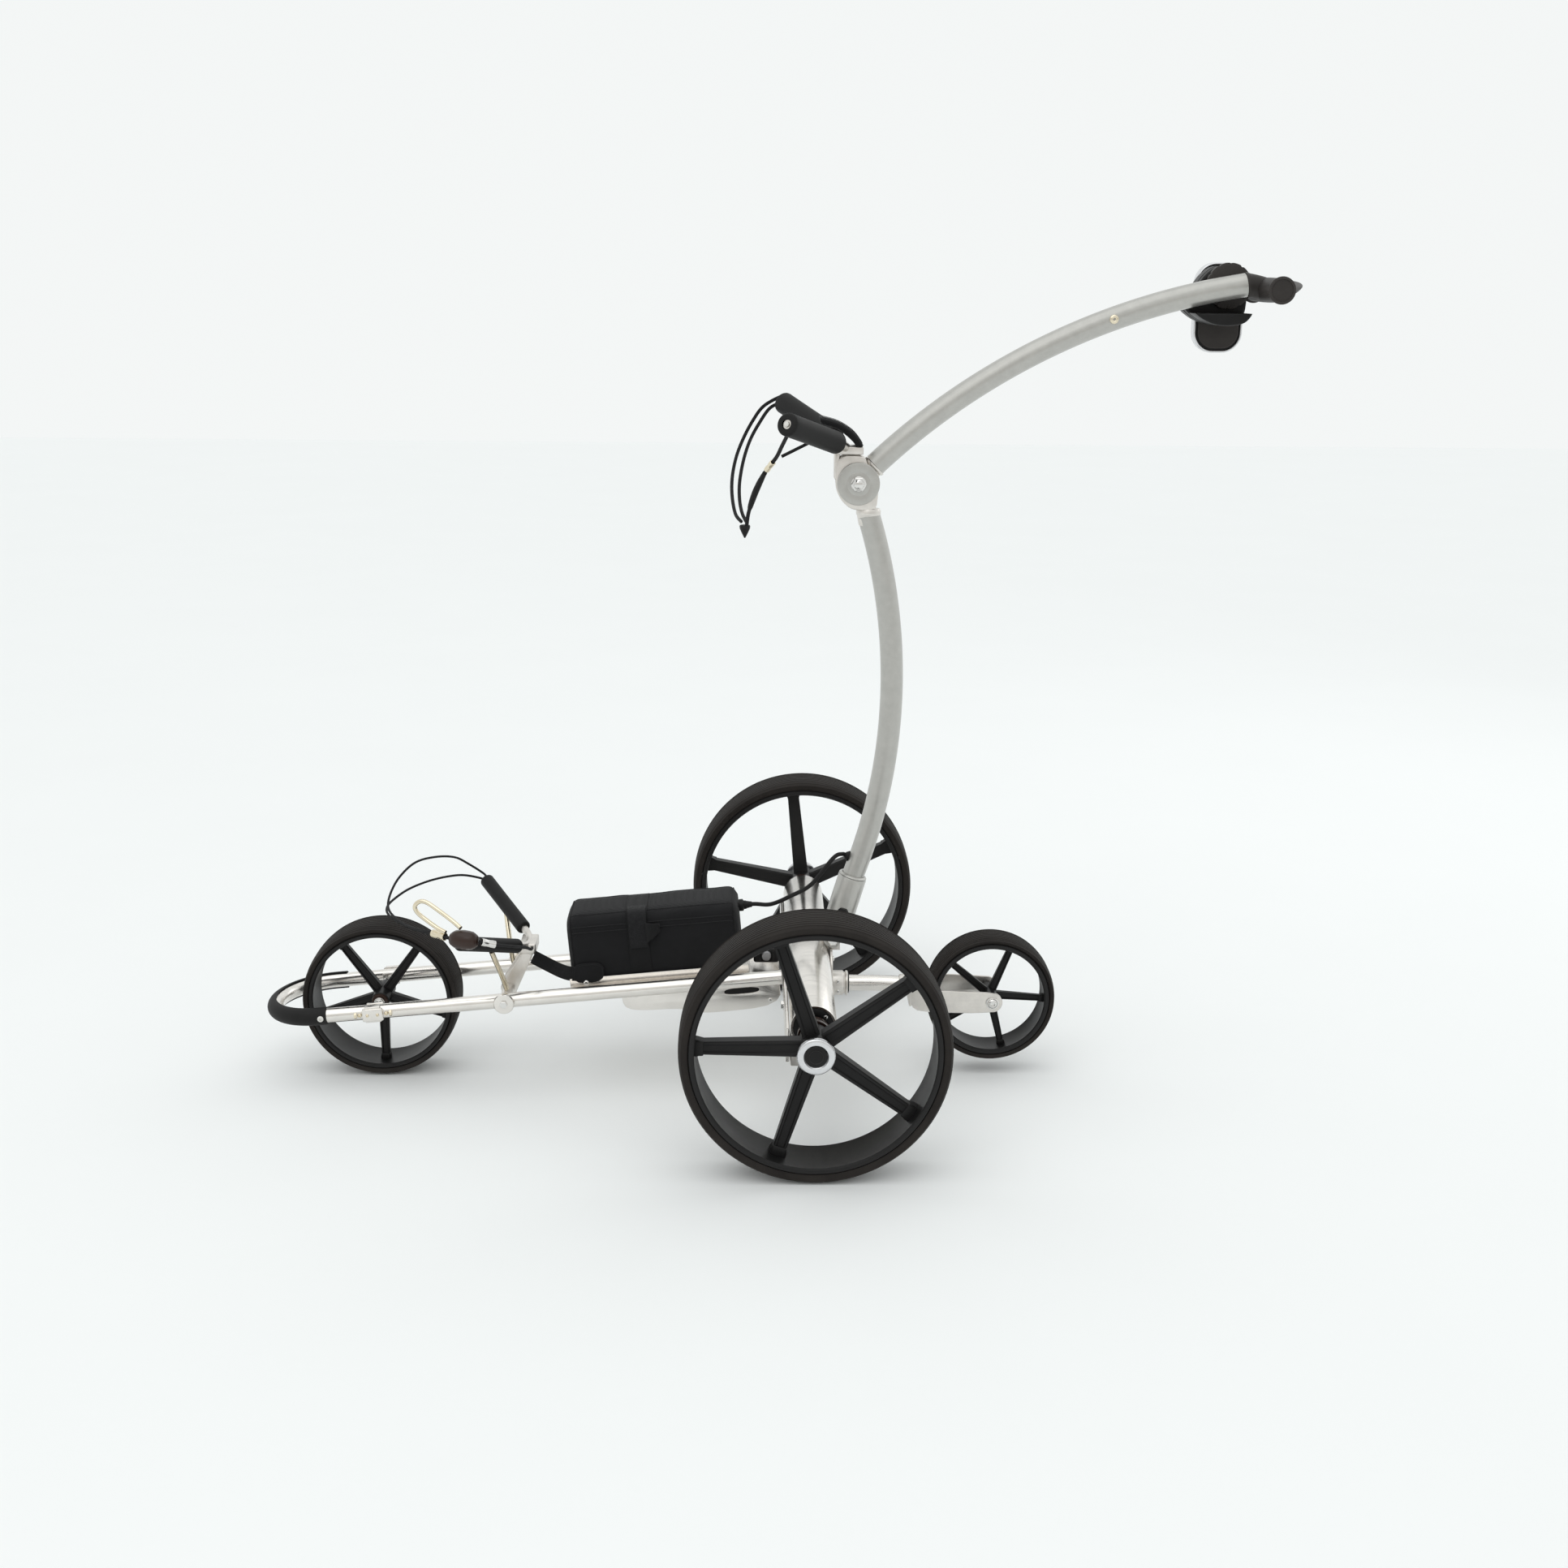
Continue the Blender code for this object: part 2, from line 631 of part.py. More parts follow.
def stem():
    """The pivot lug on the axle, the handle socket with its button, and the lower handle tube."""
    px, pz = STEM_PIVOT
    half = 0.0108
    pin = turned(
        "stem_pin",
        [(0, half + 0.0024), (0.0052, half + 0.0024), (0.0064, half + 0.0012), (0.0064, half), (0.0032, half),
         (0.0032, -half), (0.0064, -half), (0.0064, -half - 0.0012), (0.0052, -half - 0.0024),
         (0, -half - 0.0024)],
        "polished_steel", 16,
    )
    place(pin, "trolley", (px, 0, pz), (0, 1, 0))

    axis = (Vector(SOCKET_TOP) - Vector(STEM_PIVOT)).normalized()
    lean = (axis.x, 0, axis.y)
    top = (Vector(SOCKET_TOP) - Vector(STEM_PIVOT)).length
    floor_s, base_s, button_s = 0.0315, 0.0240, 0.0385
    sleeve = turned_mesh(
        "sleeve",
        [(0, floor_s), (0.0134, floor_s), (0.0134, top), (0.0152, top), (SOCKET_R, top - 0.0022),
         (SOCKET_R, base_s + 0.004), (SOCKET_R - 0.004, base_s), (0, base_s)],
        28,
    )
    cheek_pieces = []
    for index, sign in enumerate((1, -1)):
        shape = [*circle(LUG_R, (0, 0), 11, 180, 180), (LUG_R, base_s + 0.004), (-LUG_R, base_s + 0.004)]
        cheek = plate_mesh(f"socket_cheek_{index}", shape, 0.0050)
        cheek.transform(Matrix.Translation((0, sign * 0.0079, 0)))
        cheek_pieces.append(cheek)
    socket = join_solids("handle_socket", [sleeve, *cheek_pieces], "satin_aluminium")
    place(socket, "stem_pivot", (px, 0, pz))
    socket.rotation_euler = (0, math.atan2(axis.x, axis.y), 0)
    cut(socket, "cheek_bore", rod_mesh("bore", 0.0036, 0.06, 16), look=(0, 1, 0))
    cut(socket, "button_hole", rod_mesh("hole", 0.0060, 0.02, 20), (0, 0.0160, button_s), (0, 1, 0))

    spot = Vector((px, 0, pz)) + Vector(lean) * button_s
    button = turned(
        "release_button",
        [(0, 0.0190), (0.0040, 0.0188), (0.0054, 0.0178), (0.0054, 0.0118), (0, 0.0118)],
        "black_plastic", 20,
    )
    place(button, "stem_pivot", spot, (0, 1, 0))

    arc = arc_through(SOCKET_TOP, STEM_MID, HINGE, 400)
    kept = [p for p in arc if SOCKET_TOP[1] + 0.016 < p.z < HINGE[1] - 0.0345]
    knots = 19
    run = [kept[round(i * (len(kept) - 1) / (knots - 1))] for i in range(knots)]
    foot = [Vector((px, 0, pz)) + Vector(lean) * s for s in (0.0330, 0.0560, 0.0790)]
    tube = pipe("lower_handle_tube", relative(foot + run, "stem_pivot"), TUBE_R, TUBE_WALL, "satin_aluminium", 4)
    place(tube, "stem_pivot", (px, 0, pz))
    cut(tube, "tube_button_hole", rod_mesh("hole", 0.0060, 0.02, 20),
        spot - Vector((px, -0.0150, pz)), (0, 1, 0))
    return run[-1], (run[-1] - run[-2]).normalized()


def hinge(tube_top, tube_way):
    """The mid hinge: lower fork, upper tongue, two discs and the through bolt."""
    hx, hz = HINGE
    centre = Vector((hx, 0, hz))
    outline = [
        (0.0255, 0.0310), (0.0255, -0.0060), (0.0190, -0.0195), (0.0065, -0.0300),
        (-0.0205, -0.0300), (-0.0225, -0.0130), (-0.0225, 0.0040), (-0.0190, 0.0130), (-0.0100, 0.0205),
        (-0.0070, 0.0310),
    ]
    pieces = []
    for index, sign in enumerate((1, -1)):
        cheek = plate_mesh(f"fork_cheek_{index}", outline, 0.0048)
        cheek.transform(Matrix.Translation((0, sign * 0.0099, 0)))
        pieces.append(cheek)
    block = box_mesh("fork_block", (0.0265, 0.0246, 0.0085), (-0.0070, 0, -0.0253), 0.001, 1)
    plug = rod_mesh("fork_plug", 0.0106, 0.0230, 24)
    plug.transform(tube_way.to_track_quat("Z", "Y").to_matrix().to_4x4())
    plug.transform(Matrix.Translation(tube_top - centre - tube_way * 0.0025))
    fork = join_solids("hinge_fork", [block, *pieces, plug], "satin_aluminium")
    place(fork, "hinge_axis", centre)
    cut(fork, "fork_hole", rod_mesh("hole", 0.0044, 0.06, 20), look=(0, 1, 0))

    heading = math.atan2(HINGE[1] - HANDLE_CENTRE[1], HINGE[0] - HANDLE_CENTRE[0]) + math.pi / 2
    out = Vector((math.cos(heading), 0, math.sin(heading)))
    turn = math.degrees(heading)
    tongue_outline = circle(0.0195, (0, 0), 21, turn + 36, 288)
    side = Vector((-out.z, 0, out.x)) * 0.0112
    for point in (out * 0.0256 - side, out * 0.0256 + side):
        tongue_outline.append((point.x, point.z))
    tongue = plate_mesh("tongue_plate", tongue_outline, 0.0140)
    core = rod_mesh("tongue_plug", 0.0104, 0.0160, 24)
    core.transform(out.to_track_quat("Z", "Y").to_matrix().to_4x4())
    core.transform(Matrix.Translation(out * 0.0328))
    joint = join_solids("hinge_tongue", [tongue, core], "satin_aluminium")
    place(joint, "hinge_axis", centre)
    cut(joint, "tongue_hole", rod_mesh("hole", 0.0044, 0.06, 20), look=(0, 1, 0))

    near, disc_edge, bolt_end = 0.0127, 0.0012, 0.0171
    bolt = turned(
        "hinge_clamp",
        [(0, bolt_end + 0.0066), (0.0036, bolt_end + 0.0060), (0.0064, bolt_end + 0.0038),
         (0.0078, bolt_end + 0.0008), (0.0078, bolt_end), (HINGE_R - disc_edge, bolt_end),
         (HINGE_R, bolt_end - disc_edge), (HINGE_R, near), (0.0040, near), (0.0040, -near), (HINGE_R, -near),
         (HINGE_R, disc_edge - bolt_end), (HINGE_R - disc_edge, -bolt_end), (0.0078, -bolt_end),
         (0.0078, -bolt_end - 0.0035), (0, -bolt_end - 0.0035)],
        "satin_aluminium", 28,
    )
    place(bolt, "hinge_axis", centre, (0, 1, 0))


def upper_handle():
    """The long curved tube with its cable grommet."""
    cx, cz = HANDLE_CENTRE
    first = math.atan2(HINGE[1] - cz, HINGE[0] - cx) + 0.0274 / HANDLE_ARC_R
    last = math.acos((HANDLE_END_X - cx) / HANDLE_ARC_R)
    count = 18
    angles = [first + (last - first) * i / (count - 1) for i in range(count)]
    arc = [Vector((cx + HANDLE_ARC_R * math.cos(a), 0, cz + HANDLE_ARC_R * math.sin(a))) for a in angles]
    tube = pipe("upper_handle_tube", relative(arc, "hinge_axis"), TUBE_R, TUBE_WALL, "satin_aluminium", 4)
    place(tube, "hinge_axis", frames["hinge_axis"][1])
    return arc[-1], (arc[-1] - arc[-2]).normalized()


def loft(name, sections):
    """A closed body from rings with equal counts of points, capped at both ends."""
    count = len(sections[0])
    points = [p for ring in sections for p in ring]
    faces = [tuple(range(count))[::-1]]
    for row in range(len(sections) - 1):
        for i in range(count):
            j = (i + 1) % count
            a, b = row * count, (row + 1) * count
            faces.append((a + i, a + j, b + j, b + i))
    last = (len(sections) - 1) * count
    faces.append(tuple(last + i for i in range(count)))
    mesh = bpy.data.meshes.new(name)
    mesh.from_pydata(points, [], faces)
    work = bmesh.new()
    work.from_mesh(mesh)
    bmesh.ops.recalc_face_normals(work, faces=work.faces)
    work.to_mesh(mesh)
    work.free()
    smooth(mesh, 50)
    return mesh


def handle_head(tube_end, tube_way):
    """The T-grip on its neck, the control housing with its speed wheel, and the handset."""
    gx, gz = GRIP_AXIS
    sides = 20
    sections = []
    for y in (-GRIP_HALF, -0.050, -0.034, -0.017, 0.0, 0.017, 0.034, 0.050, GRIP_HALF):
        swell = (math.cos(math.pi * y / (2 * GRIP_HALF)) if abs(y) < GRIP_HALF else 0.0) ** 1.3
        ring = []
        for i in range(sides):
            a = math.tau * i / sides
            pull = max(0.0, -math.cos(a)) ** 3 * swell
            r = GRIP_R * (1 - 0.06 * (1 - swell))
            ring.append((r * math.cos(a) - pull * (GRIP_REACH - GRIP_R), y, r * math.sin(a) + pull * 0.005))
        sections.append(ring)
    bar = loft("grip_bar", sections)
    grip_centre = Vector((gx, 0, gz))
    reach = tube_end - grip_centre
    rings = []
    for share, radius in ((0.0, 0.0128), (0.3, 0.0126), (0.65, 0.0121), (1.0, 0.0118)):
        along = (tube_way * (1 - share) - reach.normalized() * share).normalized()
        up = Vector((-along.z, 0, along.x))
        spot = reach * (1 - share) + tube_way * (0.0008 + 0.006 * share * (1 - share))
        rings.append([
            spot + up * (radius * math.cos(math.tau * i / 24)) + Vector((0, radius * math.sin(math.tau * i / 24), 0))
            for i in range(24)
        ])
    neck = loft("neck", rings)
    plug = rod_mesh("neck_plug", 0.0106, 0.0200, 24)
    plug.transform(tube_way.to_track_quat("Z", "Y").to_matrix().to_4x4())
    plug.transform(Matrix.Translation(reach - tube_way * 0.0080))
    grip = join_solids("t_grip", [bar, neck, plug], "grey_plastic")
    place(grip, "hinge_axis", (gx, 0, gz))
    outline = smooth_outline([
        (-0.4115, 0.9008), (-0.4250, 0.8900), (-0.4400, 0.8836), (-0.4560, 0.8823), (-0.4730, 0.8850),
        (-0.4815, 0.8950), (-0.4828, 0.9100), (-0.4822, 0.9260), (-0.4760, 0.9400), (-0.4600, 0.9478),
        (-0.4440, 0.9460), (-0.4310, 0.9340), (-0.4220, 0.9160),
    ])
    centre = Vector((-0.4590, 0, 0.9160))
    local = [(x - centre.x, z - centre.z) for x, z in outline]
    back, front, face = -0.0632, 0.0125, -0.0252
    far_half = plate_mesh("housing_back", local, face - back, bevel=0.003)
    far_half.transform(Matrix.Translation((0, (face + back) / 2, 0)))
    low = [(x, z) for x, z in local if z < -0.0185]
    bowl = plate_mesh("housing_bowl", low, front - face + 0.004)
    bowl.transform(Matrix.Translation((0, (front + face - 0.004) / 2, 0)))
    housing = join_solids("control_housing", [far_half, bowl], "black_plastic")
    place(housing, "hinge_axis", centre)
    wheel_spot = Vector((-0.4595, -0.0195, 0.9255))
    stub = rod_mesh("stub", 0.0036, 0.0180, 16)
    stub.transform(Matrix.Rotation(math.radians(90), 4, "X"))
    stub.transform(Matrix.Translation(wheel_spot - centre + Vector((0, -0.0060, 0))))
    helper_stub = helper("housing_stub", stub)
    helper_stub.parent = housing
    step = housing.modifiers.new("stub", "BOOLEAN")
    step.operation = "UNION"
    step.object = helper_stub
    notch = [(0.0040, 0.0046), (0.0238, 0.0046), (0.0252, 0.0034), (0.0252, -0.0034), (0.0238, -0.0046),
             (0.0040, -0.0046), (0.0040, 0.0046)]
    dial = turned("speed_wheel", notch, "grey_plastic", 36)
    place(dial, "hinge_axis", wheel_spot, (0, 1, 0))
    for index in range(6):
        a = math.radians(60 * index + 8)
        cut(dial, f"grip_notch_{index}", rod_mesh("notch", 0.0016, 0.02, 8),
            (0.0262 * math.cos(a), 0.0262 * math.sin(a), 0))

    hand = Vector((-0.4615, 0, 0.9010))
    near, far = -0.0637, -0.0857
    body_y = (near + far) / 2
    shell = rounded_rect(0.0280, 0.050, 0.0225, 6)
    body = add("handset", plate_mesh("handset", shell, near - far, bevel=0.0016), "silver_trim")
    place(body, "hinge_axis", hand + Vector((0, body_y, 0)))
    for name, lift in (("faster", 0.018), ("slower", -0.018)):
        cut(body, name + "_recess", rod_mesh("recess", 0.0066, 0.006, 20), (0, -0.0110, lift), (0, 1, 0))
        key = turned(
            name + "_button",
            [(0, 0.0020), (0.0050, 0.0018), (0.0062, 0.0008), (0.0062, -0.0018), (0, -0.0018)],
            "grey_plastic", 20,
        )
        place(key, "hinge_axis", hand + Vector((0, body_y - 0.0110, lift)), (0, -1, 0))


def smooth_outline(points):
    """A closed outline of (x, z) points, rounded through the given ones."""
    return [(p.x, p.z) for p in smooth_path([(x, 0, z) for x, z in points], 0.006, closed=True)]


def rounded_rect(half_x, half_z, corner, steps):
    made = []
    for sx, sz, start in ((1, 1, 0), (-1, 1, 90), (-1, -1, 180), (1, -1, 270)):
        made += circle(corner, (sx * (half_x - corner), sz * (half_z - corner)), steps, start, 90)
    return made


def mirrored_route(half):
    """A V-shaped route from the left tip to the right tip, from points of its left half."""
    return half + [Vector((p[0], -p[1], p[2])) for p in reversed(half[:-1])]


def sleeve_on(name, frame, root, tip, bore, radius, colour):
    """A rubber sleeve round one straight prong."""
    root, tip = Vector(root), Vector(tip)
    half = (tip - root).length / 2
    sleeve = turned(name, ring_profile(bore, radius, half, 0.003), colour, 24)
    place(sleeve, frame, (root + tip) / 2, tip - root)
    return sleeve


def upper_bag_bracket():
    """The base block on the hinge fork, the prong rod with its two sleeves, end bolts and the strap."""
    rod_r = 0.0050
    base = box_mesh("base", (0.032, 0.0295, 0.0095), (-0.0395, 0, 0.7442), 0.0015, 1)
    origin = frames["stem_pivot"][1]
    tips, roots = UPPER_TIP, UPPER_ROOT
    route = [tips[1], tips[1].lerp(roots[1], 0.5), roots[1], Vector((-0.0350, 0.011, 0.7470)),
             Vector((-0.0360, 0, 0.7466)), Vector((-0.0350, -0.011, 0.7473)), roots[-1],
             tips[-1].lerp(roots[-1], 0.5), tips[-1]]
    rod = curve_to_mesh("prong_rod", poly_curve("prong_rod", route, rod_r, 2))
    bracket = join_solids("upper_bag_bracket", [base, rod], "satin_aluminium")
    for mesh in (base, rod):
        mesh.transform(Matrix.Translation(-origin))
    place(bracket, "stem_pivot", origin)
    for side, sign in (("left", 1), ("right", -1)):
        tip, root = tips[sign], roots[sign]
        way = (tip - root).normalized()
        sleeve_on(f"upper_{side}_sleeve", "stem_pivot", root + way * 0.004, tip + way * 0.0015,
                  rod_r + GAP, 0.0126, "black_rubber")
    top = [(-0.0530, 0.7493), (-0.0480, 0.7565), (-0.0400, 0.7645), (-0.0250, 0.7730), (-0.0060, 0.7785)]
    under = [(-0.0070, 0.7753), (-0.0262, 0.7697), (-0.0375, 0.7620), (-0.0450, 0.7545), (-0.0490, 0.7493)]
    strap = plate_mesh("bag_strap", top + under, 0.034)
    place(add("upper_bag_strap", strap, "black_fabric"), "stem_pivot")
    strap_obj = bpy.data.objects["upper_bag_strap"]
    strap_obj.location = -frames["stem_pivot"][1]


def lower_bag_bracket():
    """The pivoting bracket between the rails with its two sleeves, the outside bosses and the tie strap."""
    px, _, pz = frames["bracket_pivot"][1]
    rod_r = 0.0045
    hub = Vector((0.3330, 0, 0.1600))
    cross = rod_mesh("pivot_tube", 0.0070, 2 * (RAIL_Y - RAIL_R - GAP) - 0.0006, 24)
    cross.transform(Matrix.Rotation(math.radians(90), 4, "X"))
    legs = []
    to_hub = (hub.x - px, hub.z - 0.0090 - pz)
    lean = math.degrees(math.atan2(to_hub[1], to_hub[0]))
    for index, sign in enumerate((1, -1)):
        shape = [*circle(0.0100, (0, 0), 9, lean + 90, 180), *circle(0.0062, to_hub, 7, lean - 90, 180)]
        leg = plate_mesh(f"leg_{index}", shape, 0.0040)
        leg.transform(Matrix.Translation((0, sign * 0.0170, 0)))
        legs.append(leg)
    block = box_mesh("hub_block", (0.020, 0.0400, 0.0130), (hub.x - px, 0, hub.z - 0.0030 - pz), 0.0015, 1)
    tip_l, root_l = LOWER_TIP, LOWER_ROOT
    route = mirrored_route([tip_l, tip_l.lerp(root_l, 0.5), root_l, Vector((0.3345, 0.012, 0.1606)), hub])
    rod = curve_to_mesh("lower_rod", poly_curve("lower_rod", route, rod_r, 2))
    rod.transform(Matrix.Translation((-px, 0, -pz)))
    bracket = join_solids("lower_bag_bracket", [cross, *legs, block, rod], "satin_aluminium")
    place(bracket, "bracket_pivot", (px, 0, pz))
    for side, sign in (("left", 1), ("right", -1)):
        tip, root = (Vector((p.x, sign * p.y, p.z)) for p in (tip_l, root_l))
        way = (tip - root).normalized()
        sleeve_on(f"lower_{side}_sleeve", "bracket_pivot", root + way * 0.003, tip + way * 0.0015,
                  rod_r + GAP, 0.0086, "black_rubber")
    band = add("tie_strap", box_mesh("tie_strap", (0.043, 0.0018, 0.017), bevel=0.0005, segments=1), "black_fabric")
    place(band, "trolley", (0.3040, 0.0285, 0.1390))
    band.rotation_euler = (0, math.radians(-24), 0)


def battery_lead():
    """The lead from the battery's rear end to the front of the lower handle tube."""
    gx, gz = axle_frame(0.0775 - GAP, 0.0725)
    tx, tz = axle_frame(0.0580, 0.0725)
    spot, out = stem_spot(0.2630)
    end = spot + out * (TUBE_R + 2 * GAP)
    lead = [(gx, 0, gz), (tx, 0, tz), (0.0446, 0.0060, 0.2100), (0.0208, 0.0170, 0.2241),
            (-0.0028, 0.0215, 0.2400), end + Vector((0.0180, 0.0130, 0.0010)), end + out * 0.0070, end]
    place(rod_along("battery_lead", smooth_path(lead, 0.0065), 0.0025, "black_rubber", 2), "trolley", (0, 0, 0))


def stem_spot(height):
    """The lower tube's centre at a height, and the way out of its front there."""
    arc = arc_through(SOCKET_TOP, STEM_MID, HINGE, 200)
    index = min(range(1, 199), key=lambda i: abs(arc[i].z - height))
    way = (arc[index + 1] - arc[index - 1]).normalized()
    return arc[index], Vector((way.z, 0, -way.x))


UPPER_TIP = {1: Vector((0.0325, PRONG_TIP_Y - 0.0015, 0.7803)), -1: Vector((0.0325, 0.0015 - PRONG_TIP_Y, 0.7880))}
UPPER_ROOT = {1: Vector((-0.0270, 0.0230, 0.7525)), -1: Vector((-0.0270, -0.0230, 0.7540))}
LOWER_TIP = Vector((0.3975, PRONG_TIP_Y - 0.002, 0.1990))
LOWER_ROOT = Vector((0.3410, 0.0300, 0.1650))


def near_sleeve_skin(share, towards):
    """A point on the underside of the upper left sleeve, share of the way to its tip."""
    way = (UPPER_TIP[1] - UPPER_ROOT[1]).normalized()
    spot = UPPER_ROOT[1].lerp(UPPER_TIP[1], share)
    away = Vector(towards) - spot
    away = (away - way * away.dot(way)).normalized()
    return spot + away * 0.0146


def cord(name, frame, points, radius):
    obj = rod_along(name, relative(smooth_path(points, 0.0085), frame), radius, "braided_cord", 2)
    place(obj, frame, frames[frame][1])


def bag_cords():
    """The elastic loop of each bag bracket, with the hook of the upper and the knob and wire hook of the lower."""
    far = (UPPER_TIP[-1] - UPPER_ROOT[-1]).normalized()
    face = UPPER_TIP[-1] + far * 0.0024
    lift = far.cross(Vector((0, 0, 1))).cross(far).normalized()
    first, second = face - lift * 0.0042, face + lift * 0.0042
    cord("upper_cord_outer", "stem_pivot",
         [second, second + far * 0.0060, (0.0560, -0.1275, 0.7830), (0.0690, -0.1200, 0.7660),
          (0.0800, -0.1080, 0.7460), (0.0880, -0.0900, 0.7260), (0.0922, -0.0680, 0.7050), (0.0920, -0.0450, 0.6860),
          (0.0880, -0.0200, 0.6690), (0.0812, -0.0040, 0.6622)],
         0.0020)
    cord("upper_cord_inner", "stem_pivot",
         [first, first + far * 0.0060, (0.0490, -0.1265, 0.7805), (0.0610, -0.1180, 0.7640),
          (0.0715, -0.1060, 0.7455), (0.0790, -0.0880, 0.7245), (0.0835, -0.0660, 0.7010), (0.0835, -0.0450, 0.6830),
          (0.0805, -0.0220, 0.6700), (0.0757, -0.0045, 0.6622)],
         0.0020)
    split = (0.0430, 0.0580, 0.7400)
    cord("upper_cord_return", "stem_pivot",
         [(0.0750, 0.0030, 0.6597), (0.0727, 0.0080, 0.6750), (0.0650, 0.0260, 0.7000), (0.0540, 0.0440, 0.7240),
          split, near_sleeve_skin(0.80, split) * 0.5 + Vector(split) * 0.5, near_sleeve_skin(0.80, split)],
         0.0022)
    fork_start = Vector(split) + Vector((-0.0058, -0.0010, 0.0010))
    cord("upper_cord_branch", "stem_pivot",
         [fork_start, near_sleeve_skin(0.40, split) * 0.5 + fork_start * 0.5, near_sleeve_skin(0.40, split)], 0.0018)
    hook = turned(
        "upper_cord_hook",
        [(0, 0.6592), (0.0058, 0.6590), (0.0062, 0.6570), (0.0030, 0.6490), (0.0012, 0.6450), (0, 0.6441)],
        "black_plastic", 16,
    )
    place(hook, "stem_pivot", (0.0772, 0, 0))

    tip = Vector((LOWER_TIP.x, -LOWER_TIP.y, LOWER_TIP.z))
    way = (tip - Vector((LOWER_ROOT.x, -LOWER_ROOT.y, LOWER_ROOT.z))).normalized()
    face = tip + way * 0.0024
    lift = Vector((0, 0, 0.0035))
    cord("lower_cord_upper", "bracket_pivot",
         [face + lift, face + lift + way * 0.0080, (0.4215, -0.1270, 0.2180), (0.4360, -0.1120, 0.2310),
          (0.4560, -0.0880, 0.2385), (0.4765, -0.0640, 0.2385), (0.4925, -0.0400, 0.2265), (0.4990, -0.0120, 0.2130),
          (0.4950, 0.0180, 0.2060), (0.4790, 0.0480, 0.2030), (0.4600, 0.0760, 0.2045), (0.4430, 0.0970, 0.2075),
          (0.4262, 0.1107, 0.2098)],
         0.0014)
    cord("lower_cord_lower", "bracket_pivot",
         [face - lift, face - lift + way * 0.0070, (0.4250, -0.1250, 0.2035), (0.4420, -0.1120, 0.2065),
          (0.4636, -0.0900, 0.2075), (0.4853, -0.0680, 0.2040), (0.4990, -0.0430, 0.1995), (0.5030, -0.0150, 0.1985),
          (0.4970, 0.0130, 0.1985), (0.4800, 0.0420, 0.1985), (0.4590, 0.0710, 0.2005), (0.4420, 0.0930, 0.2035),
          (0.4262, 0.1107, 0.2062)],
         0.0014)
    knob_from, knob_to = Vector((0.4065, 0.1265, 0.2080)), Vector((0.3745, 0.1360, 0.2080))
    knob = turned(
        "cord_knob",
        [(0, 0.0165), (0.0062, 0.0165), (0.0100, 0.0110), (0.0112, 0.0000), (0.0100, -0.0110), (0.0062, -0.0165),
         (0, -0.0165)],
        "brown_plastic", 8,
    )
    place(knob, "bracket_pivot", (knob_from + knob_to) / 2, knob_to - knob_from)
    cord("lower_cord_return", "bracket_pivot",
         [knob_to + (knob_to - knob_from).normalized() * 0.0012, (0.3650, 0.1350, 0.2060), (0.3531, 0.1270, 0.2005),
          (0.3411, 0.1050, 0.1912), (0.3300, 0.0660, 0.1760), (0.3270, 0.0380, 0.1640), (0.3275, 0.0208, 0.1590)],
         0.0018)
    hook_route = [(0.3960, 0.1298, 0.2206), (0.4000, 0.1260, 0.2300), (0.4150, 0.1180, 0.2390),
                  (0.4320, 0.1110, 0.2445), (0.4462, 0.1080, 0.2443), (0.4510, 0.1080, 0.2350),
                  (0.4430, 0.1090, 0.2240), (0.4290, 0.1140, 0.2170), (0.4090, 0.1250, 0.2150)]
    wire = rod_along("wire_hook", relative(smooth_path(hook_route, 0.006), "bracket_pivot"), 0.0016, "brass_steel", 2)
    place(wire, "bracket_pivot", frames["bracket_pivot"][1])


def main():
    make_frames()
    drive_wheels()
    front_wheel()
    rails()
    tray_and_battery()
    controller_box()
    axle_housing()
    anti_tip()
    hinge(*stem())
    handle_head(*upper_handle())
    upper_bag_bracket()
    lower_bag_bracket()
    battery_lead()
    bag_cords()


main()
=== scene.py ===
"""Electric golf trolley: the visual pieces, materials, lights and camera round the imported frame."""

import math

import bmesh
import bpy
from mathutils import Matrix, Vector


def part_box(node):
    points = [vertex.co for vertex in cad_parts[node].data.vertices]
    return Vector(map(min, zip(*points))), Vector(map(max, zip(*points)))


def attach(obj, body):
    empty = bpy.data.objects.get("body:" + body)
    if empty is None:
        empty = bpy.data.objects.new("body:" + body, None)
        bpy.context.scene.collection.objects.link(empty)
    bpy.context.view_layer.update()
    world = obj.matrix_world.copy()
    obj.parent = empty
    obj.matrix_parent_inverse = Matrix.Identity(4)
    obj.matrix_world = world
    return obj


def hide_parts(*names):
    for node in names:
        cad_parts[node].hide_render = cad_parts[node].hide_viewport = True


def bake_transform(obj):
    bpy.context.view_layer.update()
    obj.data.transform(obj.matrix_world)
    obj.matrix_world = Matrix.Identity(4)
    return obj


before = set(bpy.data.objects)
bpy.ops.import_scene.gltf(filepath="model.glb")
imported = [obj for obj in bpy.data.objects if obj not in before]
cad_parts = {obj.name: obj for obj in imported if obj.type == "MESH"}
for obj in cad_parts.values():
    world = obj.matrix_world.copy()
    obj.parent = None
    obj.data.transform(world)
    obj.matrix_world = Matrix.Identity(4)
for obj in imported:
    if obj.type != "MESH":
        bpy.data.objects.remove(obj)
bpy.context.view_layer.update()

# Everything is in metres, +X towards the front wheel. A pair is (x, z) in the middle plane, with x from
# the drive axle and z from the floor.
TAU = math.tau
GAP = 0.0004  # clearance between pieces that fit together
PITCH = math.radians(5.29)  # how far the side rails drop towards the front
RAIL_Z = 0.1414  # height of the rail plane above the floor, at the drive axle
RAIL_Y = 0.0605  # from the middle to the centre line of a side rail
RAIL_R = 0.0086
LOOP_U = 0.5785  # along the rails, to the centre of the front loop
